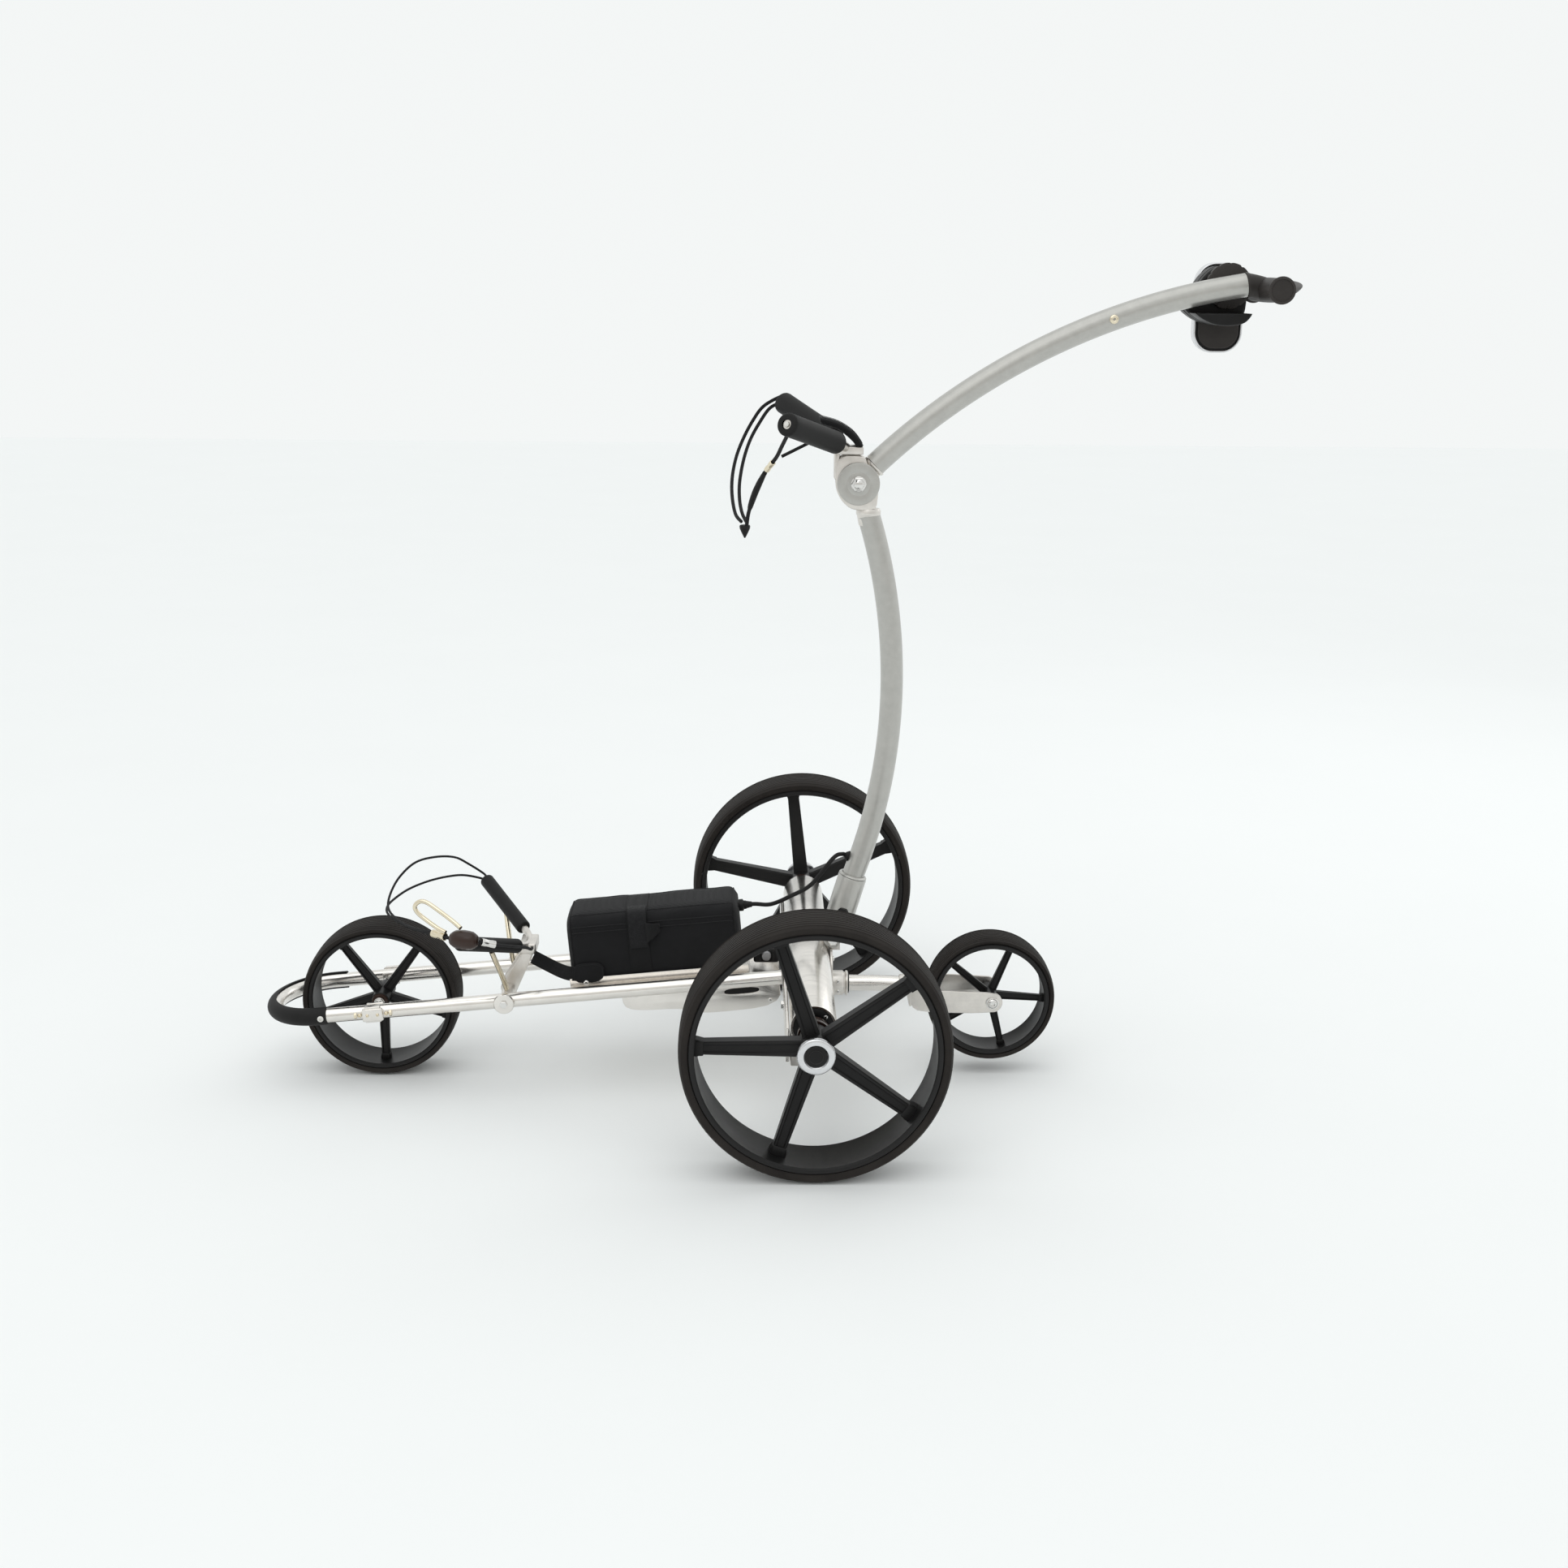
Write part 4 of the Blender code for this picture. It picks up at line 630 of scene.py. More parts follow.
def drive_side(side, sign, photo_turn):
    body = side + "_drive"
    spot = at(0, sign * TRACK_HALF, WHEEL_Z)
    wheel(body, body, (side + "_drive_wheel", side + "_drive_tyre"), spot, radius=WHEEL_Z, width=0.062,
          rim_in=0.1275, hub_r=0.0165, hub_half=0.0245, spoke_w=0.0155, photo_turn=photo_turn, facing=sign)
    out = [outward(sign), to(spot)]
    ring = annulus([(0.0120, 0.0248), (0.0185, 0.0248), (0.0200, 0.0256), (0.0204, 0.0268), (0.0204, 0.0292),
                    (0.0196, 0.0306), (0.0180, 0.0313), (0.0150, 0.0314), (0.0133, 0.0311), (0.0127, 0.0302),
                    (0.0120, 0.0296)], 72)
    piece(side + "_hub_ring", moved(ring, *out), "silver_trim", body, side + "_hub_cap")
    disc = revolve([(0.0001, 0.0262), (0.0119, 0.0262), (0.0119, 0.0298), (0.0112, 0.0304), (0.0070, 0.0307),
                    (0.0001, 0.0308)], 56)
    mark = annulus([(0.0066, 0.0304), (0.0078, 0.0309), (0.0080, 0.0311), (0.0074, 0.0312)], 40)
    piece(side + "_hub_disc", moved(joined("disc", [disc, mark]), *out), "black_plastic", body)
    clutch = annulus([(0.0070, -0.0440), (0.0150, -0.0440), (0.0166, -0.0430), (0.0172, -0.0405),
                      (0.0172, -0.0345), (0.0160, -0.0335), (0.0160, -0.0310), (0.0185, -0.0300),
                      (0.0185, -0.0248), (0.0070, -0.0248)], 64)
    piece(side + "_clutch_collar", moved(clutch, *out), "brown_plastic", body)


drive_side("left", 1, 36)
drive_side("right", -1, 24)
wheel("front", "front_wheel", ("front_wheel", "front_tyre"), at(FRONT_AXLE[0], 0, FRONT_AXLE[1]),
      radius=0.093, width=0.054, rim_in=0.0795, hub_r=0.0105, hub_half=0.024, spoke_w=0.0100, photo_turn=54)
wheel("tip", "anti_tip_wheel", ("tip_wheel", "tip_tyre"), at(TIP_AXLE[0], 0, TIP_AXLE[1]), radius=0.077,
      width=0.044, rim_in=0.0636, hub_r=0.0085, hub_half=0.020, spoke_w=0.0080, photo_turn=-4)
front_hub = [moved(annulus([(0.0045, 0.0240), (0.0092, 0.0240), (0.0098, 0.0248), (0.0092, 0.0262),
                            (0.0060, 0.0268), (0.0045, 0.0268)], 40),
                   side, to(at(FRONT_AXLE[0], 0, FRONT_AXLE[1]))) for side in (Y_UP, Y_DOWN)]
piece("front_hub_bushes", front_hub, "brown_plastic", "front_wheel")


# ---------------------------------------------------------------- frame rails, front loop and front axle

def loop_path(tail, step=5):
    turn = [on_rails(LOOP_U + RAIL_Y * math.sin(math.radians(a)), RAIL_Y * math.cos(math.radians(a)), 0)
            for a in range(0, 181, step)]
    back = LOOP_U - tail
    legs = [(RAIL_Y, range(12, 0, -1)), (-RAIL_Y, range(1, 13))]
    left, right = [[on_rails(LOOP_U - back * i / 12, y, 0) for i in steps] for y, steps in legs]
    return left + turn + right


piece("bent_side_rails", tube(loop_path(0.0322), RAIL_R, 32), "bare_aluminium", "chassis", "side_rails")
cover = 0.0019
inner, outer = RAIL_R + 0.0002, RAIL_R + cover
angles = [math.radians(-96 + 192 * i / 22) for i in range(23)]
c_section = [(math.cos(a) * outer, math.sin(a) * outer) for a in angles]
c_section += [(math.cos(a) * inner, math.sin(a) * inner) for a in reversed(angles)]
c_section = [(-s, t) for s, t in c_section]
nose = loop_path(LOOP_U - 0.012, 4)
normal = (RAIL_TURN @ Vector((0, 0, 1))).normalized()
piece("front_bumper_strip", sweep(nose, c_section, up=normal, angle=50), "black_rubber", "chassis",
      "front_bumper")
for side, sign in SIDES:
    screw = moved(button_head(0.0036, 0.0018), outward(sign),
                  to(on_rails(LOOP_U - 0.006, sign * (RAIL_Y + outer - 0.0004), 0)))
    piece(side + "_bumper_screw", screw, "white_plastic", "chassis")

front = at(FRONT_AXLE[0], 0, FRONT_AXLE[1])
rod = revolve([(0.0001, -0.0500), (0.0034, -0.0500), (0.0040, -0.0492), (0.0040, 0.0492), (0.0034, 0.0500),
               (0.0001, 0.0500)], 28)
nuts = []
for sign in (1, -1):
    turn = outward(sign)
    for reach in (0.0285, 0.0435):
        nuts.append(moved(hex_head(0.0105, 0.0045, 0.0062), turn, to((0, sign * reach, 0))))
piece("front_axle_and_nuts", moved(joined("axle", [moved(rod, Y_UP), *nuts]), to(front)), "polished_steel",
      "chassis", "front_axle_bolt")
for side, sign in SIDES:
    u = FRONT_AXLE[0] / math.cos(PITCH)
    spot = on_rails(u, sign * RAIL_Y, 0)
    holder = rounded_box((0.024, 0.0044, 0.0152), 0.0012, 3, (0, sign * (RAIL_R + 0.0018), 0))
    lip = rounded_box((0.0185, 0.0060, 0.0036), 0.0010, 3, (0, sign * (RAIL_R - 0.0010), 0.0078))
    low_lip = rounded_box((0.0185, 0.0060, 0.0036), 0.0010, 3, (0, sign * (RAIL_R - 0.0010), -0.0078))
    inside = rounded_box((0.020, 0.0036, 0.0150), 0.0010, 3, (0, -sign * (RAIL_R + 0.0010), 0))
    piece(side + "_axle_clamp", moved(joined("clamp", [holder, lip, low_lip, inside]), RAIL_TURN, to(spot)),
          "bare_aluminium", "chassis")
    bolts = []
    for offset, size in ((-0.0155, 0.0026), (0.0155, 0.0026), (-0.0060, 0.0020), (0.0060, 0.0020)):
        bolts.append(moved(button_head(size, size * 0.8), outward(sign),
                           to((offset, sign * (RAIL_R + 0.0036 - 0.0032 * (abs(offset) > 0.01)), 0))))
    for offset in (-0.0205, 0.0205):
        bolts.append(moved(hex_head(0.0062, 0.0030), Matrix.Rotation(math.radians(90), 4, "Y"),
                           to((offset - 0.0015, sign * (RAIL_R + 0.0006), 0))))
    piece(side + "_axle_screws", moved(joined("screws", bolts), RAIL_TURN, to(spot)), "brass_steel",
          "chassis")


# ---------------------------------------------------------------- tray, battery and controller box

def across(profile_yz, u0, u1, bevel=0.0004):
    """A (y, n) outline carried along the rails from u0 to u1."""
    mesh = plate(profile_yz, u1 - u0, bevel)
    return moved(mesh, Matrix.Rotation(math.radians(90), 4, "Z"), to(((u0 + u1) / 2, 0, 0)), RAIL_TURN,
                 to(at(0, 0, RAIL_Z)))


half, lip, wall = 0.0470, 0.0145, 0.0018
channel = [(-half, 0.0006), (0.0006 - half, 0), (half - 0.0006, 0), (half, 0.0006), (half, lip),
           (half - wall, lip), (half - wall, wall), (wall - half, wall), (wall - half, lip), (-half, lip)]
piece("battery_tray_channel", across(channel, 0.070, 0.281), "bare_aluminium", "chassis", "battery_tray")
screws = []
for u in (0.092, 0.262):
    for sign in (1, -1):
        screws.append(moved(button_head(0.0034, 0.0020), outward(sign),
                            RAIL_TURN, to(on_rails(u, sign * (half - 0.0002), 0.0085))))
piece("tray_screws", screws, "polished_steel", "chassis")


def pouch_section(u_share, length, width, height):
    """The pouch's cross-section part of the way along it: soft shoulders, slack panels, ends drawn in."""
    end = abs(2 * u_share - 1)
    draw = 1 - 0.085 * max(0.0, (end - 0.86) / 0.14) ** 2.2
    belt = math.exp(-((u_share * length - 0.1185) / 0.016) ** 2)
    ring = []
    steps = 96
    for i in range(steps):
        a = TAU * i / steps
        c, s = math.cos(a), math.sin(a)
        power = 0.36
        y = math.copysign(abs(c) ** power, c)
        z = math.copysign(abs(s) ** power, s)
        reach = max((abs(y) ** 5 + abs(z) ** 5) ** 0.2, 1e-6)
        y, z = y / reach, z / reach
        slack = 0.010 * math.sin(u_share * 17 + 3 * a) * math.sin(2 * a) * (1 - end**6)
        fold = 0.006 * math.sin(u_share * 41 + 5 * a + 1.3) * max(0.0, s * 0.2 + 0.5)
        pinch = -0.022 * belt if s > -0.4 else 0.0
        size = draw * (1 + slack + fold * 0.6 + pinch)
        sag = 0.020 * max(0.0, -z) ** 3 * abs(y)
        ring.append((y * width / 2 * min(size + sag, 1.006), max(z * height / 2 * size, -height / 2)))
    return ring


LENGTH, WIDTH, HEIGHT = 0.2015, 0.0885, 0.0860
BASE = 0.0024
U0 = 0.0775
rings = []
for k in range(61):
    share = k / 60
    edge = max(0.0, 1 - min(share, 1 - share) / 0.045)
    inset = 0.115 * (1 - math.sqrt(max(0.0, 1 - edge**2)))
    ring = pouch_section(share, LENGTH, WIDTH, HEIGHT)
    rings.append([on_rails(U0 + LENGTH * share, y * (1 - inset), BASE + HEIGHT / 2 + n * (1 - inset))
                  for y, n in ring])
pouch = loft(rings, 60)
piece("battery_pouch", pouch, "black_fabric", "chassis", "battery_case")


def seam_ring(share, lift=0.0004):
    """A closed path round the pouch a little proud of its cloth."""
    edge = max(0.0, 1 - min(share, 1 - share) / 0.045)
    inset = 0.115 * (1 - math.sqrt(max(0.0, 1 - edge**2)))
    ring = pouch_section(share, LENGTH, WIDTH, HEIGHT)
    grow = 1 + lift / 0.040
    return [on_rails(U0 + LENGTH * share, y * (1 - inset) * grow, BASE + HEIGHT / 2 + n * (1 - inset) * grow)
            for y, n in ring]


piping = []
for share in (0.024, 0.976):
    piping.append(sweep(seam_ring(share, 0.0), disc_section(0.0011, 10), closed=True, up=(1, 0, 0)))
piece("pouch_piping", piping, "webbing", "chassis")


def seam_line(angle_index, start=0.03, end=0.97, lift=0.0002, steps=60):
    path = []
    for k in range(steps + 1):
        share = start + (end - start) * k / steps
        path.append(seam_ring(share, lift)[angle_index])
    return path


seams = [tube(seam_line(index), 0.00055, 8) for index in (6, 18, 30, 42, 3, 45)]
piece("pouch_seams", seams, "thread", "chassis")


def band_points(u, lift=0.0012, foot=0.0150):
    """The path of the strap over the pouch, from the left foot to the right foot, in the rails' plane."""
    share = (u - U0) / LENGTH
    ring = pouch_section(share, LENGTH, WIDTH, HEIGHT)
    path = []
    for i in range(-14, 63):
        y, n = ring[i % 96]
        n_abs = BASE + HEIGHT / 2 + n * (1 + lift / 0.042)
        if n_abs < foot:
            continue
        path.append((y * (1 + lift / 0.042), n_abs))
    return path


def ribbon(path, thickness, width, steps_across=6, centre_u=0.0):
    """A flat woven strap: a path in (y, n) carried across its width along the rails."""
    normals = []
    for i in range(len(path)):
        ay, an = path[max(i - 1, 0)]
        by, bn = path[min(i + 1, len(path) - 1)]
        ty, tn = by - ay, bn - an
        size = math.hypot(ty, tn) or 1
        normals.append((tn / size, -ty / size))
    across_u = [centre_u + width * (k / steps_across - 0.5) for k in range(steps_across + 1)]
    loop = []
    for (y, n), (ny, nn) in zip(path, normals):
        top, under = [], []
        for k, u in enumerate(across_u):
            edge = abs(2 * k / steps_across - 1)
            thick = thickness * (1 - 0.35 * edge**4)
            top.append(on_rails(u, y + ny * thick, n + nn * thick))
            under.append(on_rails(u, y, n))
        loop.append(top + under[::-1])
    return loft(loop, 40)


belt_u = 0.196
belt_path = band_points(belt_u)
piece("battery_belt", ribbon(belt_path[::-1], 0.0012, 0.0245, centre_u=belt_u), "webbing", "chassis",
      "battery_strap")
patch_path = [p for p in band_points(belt_u - 0.0005, lift=0.0028) if p[0] > 0.018 and p[1] > 0.040]
piece("belt_hook_patch", ribbon(patch_path[::-1], 0.0011, 0.0215, centre_u=belt_u - 0.0005), "hook_pile",
      "chassis")
tail = []
for k in range(11):
    t = k / 10
    u = belt_u - 0.010 - 0.017 * t
    y = 0.0468 + 0.0032 * math.sin(math.pi * min(t * 1.15, 1.0)) + 0.0010 * t
    n = 0.0640 + 0.0050 * t
    wide = 0.0125 * (1 - 0.62 * t)
    tail.append([on_rails(u, y + 0.0008, n + wide), on_rails(u, y + 0.0013, n),
                 on_rails(u, y + 0.0008, n - wide), on_rails(u, y - 0.0004, n - wide), on_rails(u, y, n),
                 on_rails(u, y - 0.0004, n + wide)])
piece("belt_folded_tail", loft(tail, 40), "webbing", "chassis")

boot_from, boot_to = on_rails(U0 - 0.001, 0, 0.0725), on_rails(U0 - 0.0235, 0, 0.0725)
boot = revolve([(0.0001, 0), (0.0068, 0), (0.0072, 0.0012), (0.0072, 0.0050), (0.0052, 0.0062),
                (0.0050, 0.0088), (0.0044, 0.0094), (0.0044, 0.0108), (0.0040, 0.0112), (0.0040, 0.0126),
                (0.0036, 0.0130), (0.0036, 0.0146), (0.0030, 0.0158), (0.0001, 0.0158)], 36)
piece("battery_plug", moved(boot, turn_to(boot_to - boot_from), to(boot_from)), "black_plastic", "chassis")

bottom = [(0.222, -0.0245), (0.208, -0.0315), (0.150, -0.0335), (0.134, -0.0425), (0.0358, -0.0405)]
outline = [(0.0358, -0.0006), (0.222, -0.0006), *bottom]
slot_hole = [(0.0598, -0.0212), (0.1018, -0.0212), (0.1010, -0.0140), (0.0606, -0.0140)]
box_sides = []
for sign in (1, -1):
    side_wall = plate(softened(outline, 2), 0.0022, 0.0006, [softened(slot_hole, 2)])
    box_sides.append(moved(side_wall, to((0, sign * (0.048 - 0.0011), 0))))
box_body = plate(softened(outline, 2), 0.0925, 0.0005)
piece("controller_box_sides", [moved(m, RAIL_TURN, to(at(0, 0, RAIL_Z))) for m in box_sides],
      "bare_aluminium", "chassis", "controller_box")
piece("controller_box_core", moved(box_body, RAIL_TURN, to(at(0, 0, RAIL_Z))), "bare_aluminium", "chassis")
# black plates set flush in the side slots: painted shade for the dark inside of the slots, since the solid
# box core lies right behind them
slots = [moved(plate([(x, z) for x, z in slot_hole], 0.0006, 0.0002), to((0, sign * 0.0468, 0)), RAIL_TURN,
               to(at(0, 0, RAIL_Z))) for sign in (1, -1)]
piece("controller_box_slots", slots, "black_rubber", "chassis")
box_screws = []
for u, n in ((0.048, -0.010), (0.048, -0.032), (0.140, -0.010), (0.205, -0.012)):
    for sign in (1, -1):
        box_screws.append(moved(button_head(0.0028, 0.0014), outward(sign), RAIL_TURN,
                                to(on_rails(u, sign * 0.0479, n))))
piece("controller_box_screws", box_screws, "polished_steel", "chassis")


# ---------------------------------------------------------------- axle tube, front beam and anti-tip arm

axle = at(0, 0, WHEEL_Z)
shell = annulus([(0.0226, -0.2352), (0.0249, -0.2356), (0.0255, -0.2346), (0.0255, 0.2346), (0.0249, 0.2356),
                 (0.0226, 0.2352)], 96)
piece("axle_cross_tube", moved(shell, Y_UP, to(axle)), "bare_aluminium", "chassis", "axle_housing")
for side, sign in SIDES:
    out = [outward(sign), to(axle)]
    plug = annulus([(0.0070, 0.2290), (0.0222, 0.2290), (0.0222, 0.2358), (0.0210, 0.2366), (0.0150, 0.2372),
                    (0.0110, 0.2372), (0.0104, 0.2390), (0.0070, 0.2390)], 72)
    piece(side + "_axle_end_plug", moved(plug, *out), "black_plastic", "chassis")
    shaft = revolve([(0.0001, 0.1000), (0.0218, 0.1000), (0.0218, 0.2280), (0.0063, 0.2285), (0.0063, 0.3090),
                     (0.0058, 0.3098), (0.0001, 0.3098)], 56)
    piece(side + "_motor_and_shaft", moved(shaft, *out), "motor_steel", "chassis", side + "_gearmotor")
    ring_screws = []
    for k in range(4):
        a = math.radians(45 + 90 * k)
        ring_screws.append(moved(button_head(0.0024, 0.0014),
                                 Matrix.Translation((0.0180 * math.cos(a), 0.0180 * math.sin(a), 0.2364)),
                                 *out))
    piece(side + "_axle_end_screws", ring_screws, "polished_steel", "chassis")

beam_x = 0.0255 + 0.0025
beam = rounded_box((0.0040, 0.440, 0.0400), 0.0010, 3)
piece("front_cross_beam", moved(beam, to(at(beam_x, 0, WHEEL_Z - 0.0265))), "bare_aluminium", "chassis",
      "front_beam")
for side, sign in SIDES:
    block = rounded_box((0.0150, 0.0260, 0.0350), 0.0022, 4)
    piece(side + "_beam_block", moved(block, to(at(0.0175, sign * 0.206, WHEEL_Z - 0.0345))),
          "cast_aluminium", "chassis")
    beam_bolts = []
    for y in (0.206, 0.090):
        beam_bolts.append(moved(hex_head(0.0085, 0.0036, 0.0056), Matrix.Rotation(math.radians(90), 4, "Y"),
                                to(at(beam_x + 0.0020, sign * y, WHEEL_Z - 0.0300))))
    piece(side + "_beam_bolts", beam_bolts, "polished_steel", "chassis")

arm_z = 0.1090
rear = -0.0255 - GAP
back_plate = plate(softened([(-0.034, 0.088), (0.034, 0.088), (0.034, 0.1560), (-0.034, 0.1560)], 2),
                   0.0030, 0.0008, [arc(0.0099, (0, arm_z), 40)])
back_plate = moved(back_plate, Matrix.Rotation(math.radians(90), 4, "Z"), to(at(rear - 0.0016, 0, 0)))
lug_shape = [*arc(0.0094, STEM_PIVOT, 24, -20, 225), (STEM_PIVOT[0] - 0.0090, 0.1522),
             (STEM_PIVOT[0] + 0.0030, 0.1522)]
lug = moved(plate(lug_shape, 0.0100, 0.0008, [arc(0.0036, STEM_PIVOT, 24)]), to(at(0, 0, 0)))
collar = annulus([
    (0.0099, 0.0), (0.0148, 0.0), (0.0148, 0.0150), (0.0143, 0.0160), (0.0134, 0.0163), (0.0128, 0.0180),
    (0.0148, 0.0190), (0.0148, 0.0206), (0.0138, 0.0214), (0.0099, 0.0214)], 72)
collar = moved(collar, Matrix.Rotation(math.radians(-90), 4, "Y"), to(at(rear - 0.0010, 0, arm_z)))
piece("rear_plate_and_collar", [back_plate, lug, collar], "cast_aluminium", "chassis", "rear_bracket")
o_ring = sweep([at(-0.0487, 0.0112 * math.cos(a), arm_z + 0.0112 * math.sin(a)) for a in
                [TAU * i / 48 for i in range(48)]], disc_section(0.0011, 12), closed=True, up=(1, 0, 0))
piece("arm_o_ring", o_ring, "black_rubber", "chassis")
collar_screws = []
for y, z in ((0.0128, 0.0062), (0.0128, -0.0062)):
    collar_screws.append(moved(button_head(0.0026, 0.0016), Y_UP, to(at(-0.0360, y + 0.0008, arm_z + z))))
for y in (-0.026, 0.026):
    for z in (0.096, 0.149):
        collar_screws.append(moved(button_head(0.0032, 0.0018), Matrix.Rotation(math.radians(-90), 4, "Y"),
                                   to(at(rear - 0.0030, y, z))))
piece("rear_plate_screws", collar_screws, "polished_steel", "chassis")
pin = [moved(hex_head(0.0105, 0.0030), turn, to(at(STEM_PIVOT[0], sign * 0.0106, STEM_PIVOT[1])))
       for turn, sign in ((Y_UP, 1), (Y_DOWN, -1))]
pin.append(moved(cylinder(0.0032, -0.0104, 0.0104, 28), Y_UP,
                 to(at(STEM_PIVOT[0], 0, STEM_PIVOT[1]))))
piece("stem_pivot_bolt", pin, "polished_steel", "chassis", "stem_pin")

arm_path = smooth_path([at(0.0235, 0, arm_z), at(-0.060, 0, arm_z), at(-0.090, 0, arm_z - 0.0004),
                        at(-0.118, 0, arm_z - 0.0020)], 0.006)
piece("anti_tip_tube", tube(arm_path, 0.0095, 32), "bare_aluminium", "anti_tip", "anti_tip_arm")
ferrule = annulus([(0.0096, 0), (0.0118, 0), (0.0122, 0.0010), (0.0122, 0.0080), (0.0114, 0.0092),
                   (0.0096, 0.0096)], 56)
piece("anti_tip_ferrule", moved(ferrule, Matrix.Rotation(math.radians(90), 4, "Y"),
                                to(at(-0.1195, 0, arm_z - 0.0018))), "cast_aluminium", "anti_tip")
hx, hz = TIP_AXLE
left = -0.1210
fork_line = [(left, 0.1175), (left - 0.002, 0.0905), (left - 0.012, 0.0835), (hx + 0.03, 0.0815),
             *arc(0.0122, TIP_AXLE, 20, 260, -160), (hx + 0.03, 0.1090), (left - 0.020, 0.1110)]
fork_parts = []
for sign in (1, -1):
    cheek = plate(softened(fork_line, 1), 0.0036, 0.0009, [arc(0.0037, TIP_AXLE, 24)])
    fork_parts.append(moved(cheek, to(at(0, sign * 0.0290, 0))))
fork_parts.append(rounded_box((0.0036, 0.0616, 0.0270), 0.0012, 3, at(left - 0.0012, 0, 0.1040)))
piece("anti_tip_fork_cheeks", fork_parts, "cast_aluminium", "anti_tip", "anti_tip_fork")
tip_spot = at(hx, 0, hz)
bolt_parts = [
    moved(cylinder(0.0034, -0.0330, 0.0320, 28), Y_UP, to(tip_spot)),
    moved(button_head(0.0062, 0.0046), Y_UP, to(tip_spot + Vector((0, 0.0312, 0)))),
    moved(revolve([(0.0001, 0), (0.0078, 0), (0.0078, 0.0008), (0.0072, 0.0011), (0.0001, 0.0011)], 40), Y_UP,
          to(tip_spot + Vector((0, 0.0309, 0)))),
    moved(hex_head(0.0105, 0.0036, 0.0070), Y_DOWN, to(tip_spot + Vector((0, -0.0309, 0)))),
]
piece("anti_tip_wheel_bolt", bolt_parts, "polished_steel", "anti_tip", "tip_axle_bolt")
spacers = [moved(annulus([(0.0042, 0.0202), (0.0070, 0.0202), (0.0070, 0.0268), (0.0042, 0.0268)], 36),
                 turn, to(tip_spot)) for turn in (Y_UP, Y_DOWN)]
piece("anti_tip_spacers", spacers, "black_plastic", "anti_tip")

connector = rounded_box((0.030, 0.032, 0.018), 0.0030, 4, at(0.0500, 0.004, 0.1500))
ribs = [rounded_box((0.0016, 0.0330, 0.0120), 0.0006, 2, at(0.0420 + 0.0050 * k, 0.004, 0.1500))
        for k in range(4)]
piece("motor_connector", [connector, *ribs], "black_plastic", "chassis")
knob = revolve([(0.0001, 0), (0.0052, 0), (0.0058, 0.0008), (0.0058, 0.0040), (0.0050, 0.0050),
                (0.0001, 0.0052)], 32)
piece("connector_knob", moved(knob, Y_UP, to(at(0.0500, 0.0200, 0.1510))), "motor_steel", "chassis")


# ---------------------------------------------------------------- stem: socket, lower tube and hinge

def arc_through(a, b, c, count):
    """Points in XZ on the circle through a, b and c, from a to c."""
    (ax, az), (bx, bz), (cx, cz) = a, b, c
    d = 2 * (ax * (bz - cz) + bx * (cz - az) + cx * (az - bz))
    ox = ((ax**2 + az**2) * (bz - cz) + (bx**2 + bz**2) * (cz - az) + (cx**2 + cz**2) * (az - bz)) / d
    oz = ((ax**2 + az**2) * (cx - bx) + (bx**2 + bz**2) * (ax - cx) + (cx**2 + cz**2) * (bx - ax)) / d
    start = math.atan2(az - oz, ax - ox) % TAU
    end = math.atan2(cz - oz, cx - ox) % TAU
    radius = math.hypot(ax - ox, az - oz)
    angles = [start + (end - start) * i / (count - 1) for i in range(count)]
    return [(ox + radius * math.cos(t), oz + radius * math.sin(t)) for t in angles]


run = Vector(SOCKET_TOP) - Vector(STEM_PIVOT)
socket_length = run.length
lean = run.normalized()
LEAN = Matrix.Rotation(math.atan2(lean.x, lean.y), 4, "Y")
pivot = at(STEM_PIVOT[0], 0, STEM_PIVOT[1])
floor_s, base_s, button_s = 0.0315, 0.0240, 0.0385
R = 0.017
sleeve = revolve([(0.0001, base_s), (R - 0.0040, base_s), (R - 0.0012, base_s + 0.0016),
                  (R, base_s + 0.0044), (R, socket_length - 0.0016), (R - 0.0006, socket_length - 0.0004),
                  (R - 0.0018, socket_length), (0.0140, socket_length), (0.0134, socket_length - 0.0008),
                  (0.0134, floor_s), (0.0001, floor_s)], 80)
cheek_line = [*arc(0.0094, (0, 0), 24, 180, 180), (0.0094, base_s + 0.0050), (-0.0094, base_s + 0.0050)]
cheeks = [moved(plate(cheek_line, 0.0050, 0.0009), to((0, sign * 0.0079, 0))) for sign in (1, -1)]
piece("stem_socket", [moved(m, LEAN, to(pivot)) for m in (sleeve, *cheeks)], "painted_silver", "stem",
      "handle_socket")
sleeve_rim = annulus([(0.0133, 0), (0.0150, 0), (0.0166, 0.0004), (0.0168, 0.0012), (0.0160, 0.0022),
                      (0.0138, 0.0030), (0.0133, 0.0026)], 72)
piece("socket_lip", moved(sleeve_rim, to((0, 0, socket_length - 0.0002)), LEAN, to(pivot)),
      "painted_silver", "stem")
guide = annulus([(0.0054, 0.0), (0.0066, 0.0), (0.0066, 0.0007), (0.0060, 0.0010), (0.0054, 0.0010)], 40)
piece("button_guide", moved(guide, Y_UP, to((0, 0.0160, 0)), to((0, 0, button_s)), LEAN, to(pivot)),
      "black_rubber", "stem")
button = revolve([(0.0001, 0.0118), (0.0052, 0.0118), (0.0052, 0.0172), (0.0047, 0.0183), (0.0034, 0.0189),
                  (0.0001, 0.0190)], 40)
piece("stem_release_button", moved(button, Y_UP, to((0, 0, button_s)), LEAN, to(pivot)), "black_plastic",
      "release_button", "release_button")

